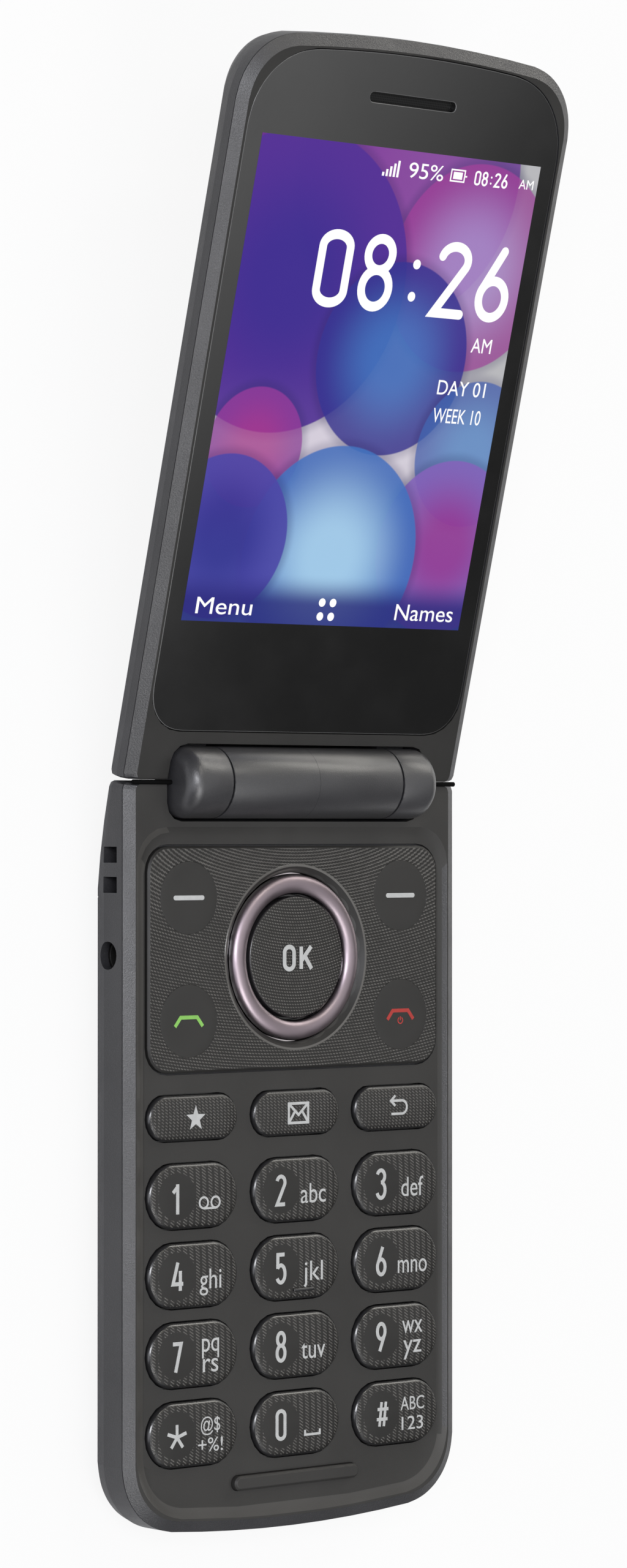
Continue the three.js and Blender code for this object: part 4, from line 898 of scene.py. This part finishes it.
HANDSET = [(-2.35, -0.7), (-1.4, 0.5), (1.4, 0.5), (2.35, -0.7)]
DIGIT_SIZE, SIGN_SIZES = (4.25, 0.52), {"*": (6.0, 0.46), "#": (5.3, 0.44)}  # height and width of stroke
DIGIT_X, DIGIT_RISES = FIELD_X - 0.12, {"*": -0.2, "1": -0.4, "7": -0.25}
LETTERS_X, LETTERS_PITCH = 2.6, 2.7

for node, digit, letters in NUMBER_KEYS:
    x, y = places[node]
    on(node, "key", numerals(node + "_digit", digit, x + DIGIT_X, y + DIGIT_RISES.get(digit, 0),
                             *SIGN_SIZES.get(digit, DIGIT_SIZE), LEGEND_TOP, legend_ink))
    if letters:
        height, like = (1.8, "A") if digit in "*#" else (1.72, "x")
        rise = 1.15 if len(letters) > 1 else -1.0
        on(node, "key", lettering(node + "_letters", letters, x + LETTERS_X, y + rise, height, LEGEND_TOP,
                                  legend_ink, BASE_PLACE, like, LETTERS_PITCH))
legend("key_1", "message_mark", 0.28, [bow(1.45, -0.95, 0.72, 0.72), bow(3.45, -0.95, 0.72, 0.72),
                                      [(1.4, -1.7), (3.5, -1.7)]])
legend("key_0", "space_mark", 0.32, [[(1.15, -1.0), (1.15, -1.65), (3.75, -1.65), (3.75, -1.0)]])
legend("message_key", "envelope_mark", 0.36, [
    [(-1.7, -1.35), (1.7, -1.35), (1.7, 1.25), (-1.7, 1.25), (-1.7, -1.35)],
    [(-1.7, 1.25), (0, -0.3), (1.7, 1.25)], [(-1.7, -1.35), (-0.65, 0.15)], [(1.7, -1.35), (0.65, 0.15)]])
legend("back_key", "return_mark", 0.34, [
    [(-1.2, -0.85), (0.7, -0.85)] + bow(0.7, 0.05, 0.9, 0.9, -90, 90) + [(-1.25, 0.95)],
    [(-0.5, 1.65), (-1.3, 0.95), (-0.5, 0.25)]])
legend("call_key", "call_mark", 0.5, [HANDSET], call_green, PAD_TOP)
legend("end_key", "end_mark", 0.5, [HANDSET], end_red, PAD_TOP)
legend("end_key", "power_mark", 0.16, [bow(0, -0.85, 0.42, 0.42, 60, -240), [(0, -0.3), (0, -0.85)]],
       end_red, PAD_TOP)
for node in ("soft_key_left", "soft_key_right"):
    legend(node, node + "_dash", 0.62, [[(-2.3, 0), (2.3, 0)]], top=PAD_TOP, round_ends=True)


def tactile_bar():
    """The raised bar low on the middle number key."""
    x, y = places["key_5"]
    bm = bmesh.new()
    length, width, sunk, wall = 3.6, 0.42, 0.12, 0.2
    face = stadium(bm, length, width, KEY_FACE - sunk, x + 0.9, y - 3, 24)
    lift(bm, face, [(0, wall)] + rounded_rim(0.15, 0.12, 3))
    return from_bmesh(bm, "key_5_tactile_bar", [rim_gloss])


def star():
    """A circle of ten points, every other one drawn in, and one of the others at the top."""
    x, y = places["favourite_key"]
    bm = bmesh.new()
    radius, drawn_in, narrowed = 1.75, 0.41, 0.97
    made = bmesh.ops.create_circle(bm, cap_ends=True, radius=radius, segments=10)
    in_turn = sorted(made["verts"], key=lambda v: math.atan2(v.co.y, v.co.x))
    highest = max(range(10), key=lambda i: in_turn[i].co.y)
    bmesh.ops.scale(bm, vec=(drawn_in, drawn_in, 1), verts=in_turn[(highest + 1) % 2::2])
    bmesh.ops.scale(bm, vec=(narrowed, 1, 1), verts=made["verts"])
    bmesh.ops.translate(bm, vec=(x + 0.1, y - 0.1, LEGEND_TOP - STROKE_THICK), verts=made["verts"])
    lift(bm, made["verts"][0].link_faces[0], [(0, STROKE_THICK)])
    return from_bmesh(bm, "star_mark", [legend_ink], angle=25)


on("key_5", "key", tactile_bar())
on("favourite_key", "key", star())
on("ok_key", "key", numerals("ok_mark", "OK", 0.05, RING_Y - 0.1, 3.6, 0.6, OK_TOP, legend_ink, gap=0.42,
                             stretch=1.06))


# ---------------- screen
SCREEN_TOP = LENS_TOP + 0.015
SCREEN_HALF_WIDTH = 24.35
SCREEN_START, SCREEN_END = 21.65, 85.55


def screen_plate(material):
    """The thin lit plate of the picture."""
    low = Vector((-SCREEN_HALF_WIDTH, SCREEN_START, LENS_TOP - 0.05))
    high = Vector((SCREEN_HALF_WIDTH, SCREEN_END, SCREEN_TOP))
    bm = bmesh.new()
    bmesh.ops.create_cube(bm, size=1, matrix=Matrix.LocRotScale((low + high) / 2, None, high - low))
    return from_bmesh(bm, "screen_picture", [material], LID_PLACE)


def wallpaper():
    """A lit picture of overlapping soft discs in indigo, violet, blue and pale grey."""
    tree = Tree("lit_wallpaper", "lid", Base_Color=grey(0.002), Specular_IOR_Level=0.1, Roughness=0.3)
    down = tree.range(tree.y, SCREEN_END, SCREEN_START)
    across = tree.range(tree.x, -SCREEN_HALF_WIDTH, SCREEN_HALF_WIDTH)
    picture = tree.mix(across, (0.2, 0.035, 0.32, 1), (0.48, 0.48, 0.5, 1))
    pale = tree.times(tree.range(down, 0.42, 0.64), tree.range(down, 0.86, 0.68))
    picture = tree.mix(tree.times(pale, 0.9), picture, (0.7, 0.66, 0.74, 1))
    picture = tree.mix(tree.range(down, 0.74, 1.0), picture, (0.1, 0.26, 0.55, 1))
    # Discs from back to front: middle, radius, colour at the middle, colour at the edge, cover
    discs = [
        (2, 82, 19, (0.24, 0.045, 0.34), (0.15, 0.03, 0.3), 0.85),
        (15, 71, 14, (0.42, 0.26, 0.6), (0.33, 0.05, 0.31), 0.8),
        (-16, 67, 20, (0.045, 0.024, 0.28), (0.085, 0.028, 0.3), 0.96),
        (4, 58, 13, (0.05, 0.16, 0.5), (0.035, 0.03, 0.28), 0.9),
        (21, 46, 10, (0.07, 0.24, 0.55), (0.05, 0.12, 0.42), 0.8),
        (-17, 45, 8, (0.4, 0.035, 0.28), (0.28, 0.04, 0.32), 0.8),
        (19, 33, 12, (0.3, 0.035, 0.3), (0.22, 0.12, 0.48), 0.9),
        (-1, 31, 15, (0.38, 0.62, 0.84), (0.05, 0.16, 0.5), 0.9),
        (-20, 33, 11, (0.035, 0.03, 0.28), (0.07, 0.06, 0.38), 0.93),
    ]
    for x, y, radius, middle, edge, cover in discs:
        away = tree.away(x, y)
        color = tree.mix(tree.range(away, radius * 0.2, radius), middle + (1,), edge + (1,))
        inside = tree.range(away, radius + 0.12, radius - 0.12)
        shadow = tree.times(tree.range(away, radius + 1.6, radius), 0.3)
        picture = tree.mix(shadow, picture, (0.02, 0.015, 0.12, 1))
        picture = tree.mix(tree.times(inside, cover), picture, color)
    foot = tree.range(tree.y, SCREEN_START + 7, SCREEN_START + 2.5)
    picture = tree.mix(tree.times(foot, 0.9), picture, (0.022, 0.02, 0.2, 1))
    tree.set(Emission_Color=picture, Emission_Strength=1.0)
    return tree.material


def lit_white():
    """The glowing white of everything written on the screen."""
    tree = Tree("lit_white", "lid", Base_Color=grey(0.02), Emission_Strength=1.0)
    tree.set(Emission_Color=tree.mix(tree.noise(0.2, 2), grey(0.95), grey(1)))
    return tree.material


def screen_words(white, top):
    """Clocks, words and signs on the lit picture."""
    # Clocks: name, middle, height, width of stroke, gap and stretch
    clocks = [
        ("screen_clock", 5.45, 69.2, 10.3, 1.3, 0.33, 1.41),
        ("screen_small_clock", 15.9, 83.05, 1.95, 0.27, 0.3, 1.3),
    ]
    # Words: their name, lines with the width of each, middle, and the height of a letter
    words = [
        ("screen_small_half", (("AM", 2.6),), 22.3, 82.95, 1.25, "A"),
        ("screen_half", (("AM", 3.6),), 19.4, 60.8, 1.95, "A"),
        ("screen_date", (("DAY 01", 8.6), ("WEEK 10", 8.6)), 17.2, 54.8, 1.95, "A"),
        ("screen_left_word", (("Menu", 9.5),), -17.5, 23.75, 2.2, "M"),
        ("screen_right_word", (("Names", 10.5),), 17.6, 23.85, 2.2, "N"),
        ("screen_charge", (("95%", 6.1),), 4.3, 83.1, 2.05, "8"),
    ]
    signal = [[(-3.1 + i * 0.62, 81.9), (-3.1 + i * 0.62, 82.4 + i * 0.42)] for i in range(5)]
    cell = [[(8.7, 82.3), (11.1, 82.3), (11.1, 83.8), (8.7, 83.8), (8.7, 82.3)],
            [(11.2, 83.05), (11.55, 83.05)]]
    dots = [[(x, y), (x, y + 0.01)] for x in (-0.85, 1.05) for y in (22.85, 24.75)]
    # Signs: name, paths, width of stroke, and whether the ends are round
    signs = [
        ("screen_signal", signal, 0.36, False),
        ("screen_battery", cell, 0.2, False),
        ("screen_level", [[(9.1, 83.05), (10.7, 83.05)]], 0.95, False),
        ("screen_menu_dots", dots, 1.15, True),
    ]
    for name, x, y, height, width, gap, stretch in clocks:
        yield numerals(name, "08:26", x, y, height, width, top, white, LID_PLACE, gap, stretch, True)
    for name, lines, x, y, height, like in words:
        yield lettering(name, lines, x, y, height, top, white, LID_PLACE, like, pitch=3.8, thick=0.01)
    for name, paths, width, round_ends in signs:
        yield stroked(name, paths, width, top, white, LID_PLACE, round_ends)


on("lid", "display", screen_plate(wallpaper()), *screen_words(lit_white(), SCREEN_TOP + 0.012))


# ---------------- floor, light and camera
# The side the room's light comes from: three directions, and how far along each it starts and is full
GLOW = [((-0.77, 0.35, 0.54), -0.25, -0.165), ((0, -1, 0), -0.5, -0.25), ((1, 0, 0), -0.35, 0.0)]
GLOW_LOW, GLOW_HIGH = 0.055, 0.8
FLOOR_GREY, FLOOR_WHITENESS = 0.62, 0.9
LENS_LENGTH = 108.77


def floor():
    """A floor that takes soft shadows and looks almost white to the camera."""
    bm = bmesh.new()
    just_below = Matrix.Translation((0, 0, -0.05 * MM))
    bmesh.ops.create_grid(bm, x_segments=1, y_segments=1, size=3, matrix=just_below)
    tree = Tree("studio_white", "base", Specular_IOR_Level=0.0, Roughness=0.9, Base_Color=grey(FLOOR_GREY))
    white = tree.fill(tree.node("Emission"), Color=grey(1))
    tree.show_camera(white, FLOOR_WHITENESS, tree.shader, "Material Output")
    finished(bm, "studio_floor", [tree.material])


def room():
    """A room that lights the phone from one side of the sky and looks white to the camera."""
    world = bpy.data.worlds.new("white_room")
    bpy.context.scene.world = world
    tree = Nodes(world)
    way = tree.node("TexCoord").outputs["Generated"]
    glow = 1.0
    for facing, start, full in GLOW:
        along = tree.node("VectorMath", way, facing, operation="DOT_PRODUCT").outputs["Value"]
        glow = tree.times(glow, tree.range(along, start, full))
    strength = tree.math("MULTIPLY_ADD", glow, GLOW_HIGH - GLOW_LOW, GLOW_LOW)
    light = tree.fill(tree.nodes["Background"], Color=grey(1), Strength=strength)
    seen = tree.fill(tree.node("Background"), Color=grey(1))
    tree.show_camera(seen, 1.0, light, "World Output")


def lamp(name, place, size, power, color=(1, 1, 1), look_at=(0, 0.03, 0.01)):
    """A rectangular lamp turned toward look_at."""
    light = bpy.data.lights.new(name, "AREA")
    light.shape = "RECTANGLE"
    light.size, light.size_y = size
    light.energy = power
    light.color = color
    holder = added(name, light)
    holder.location = place
    holder.rotation_euler = (Vector(look_at) - Vector(place)).to_track_quat("-Z", "Y").to_euler()


def camera():
    """The photograph's camera, above and to the left of the hinge."""
    data = bpy.data.cameras.new("photo_camera")
    data.lens = LENS_LENGTH
    data.clip_end = 20
    holder = added("photo_camera", data)
    back, rightward = Vector((-0.6496, -0.0094, 0.7603)).normalized(), Vector((0.7603, 0, 0.6496))
    up = back.cross(rightward).normalized()
    right = up.cross(back)
    place = HINGE + Vector((-0.4116, -0.0061, 0.4850))
    rows = [(right[i], up[i], back[i], place[i]) for i in range(3)]
    holder.matrix_world = Matrix(rows + [(0, 0, 0, 1)])
    bpy.context.scene.camera = holder


floor()
room()
lamp("overhead_left", (-0.55, 0.2, 0.85), (0.25, 0.5), 6.5, (0.94, 0.95, 1.0), (0, 0.05, 0.01))
lamp("right_back", (0.78, 0.82, 0.5), (0.6, 0.3), 3.4, (1.0, 0.97, 0.9))
lamp("horizon_right", (1.3, 0.6, 0.12), (1.6, 0.2), 3, (1.0, 0.98, 0.94))
lamp("overhead_front", (-0.15, -0.42, 0.9), (0.45, 0.45), 3.6)
lamp("overhead_back", (0.15, 0.62, 0.8), (0.3, 0.12), 1.4, (1.0, 0.97, 0.88))
lamp("left_wall_light", (-1.0, -0.05, 0.3), (0.5, 1.2), 3.0, (0.92, 0.93, 1.0))
camera()
bpy.context.scene.view_settings.view_transform = "Standard"
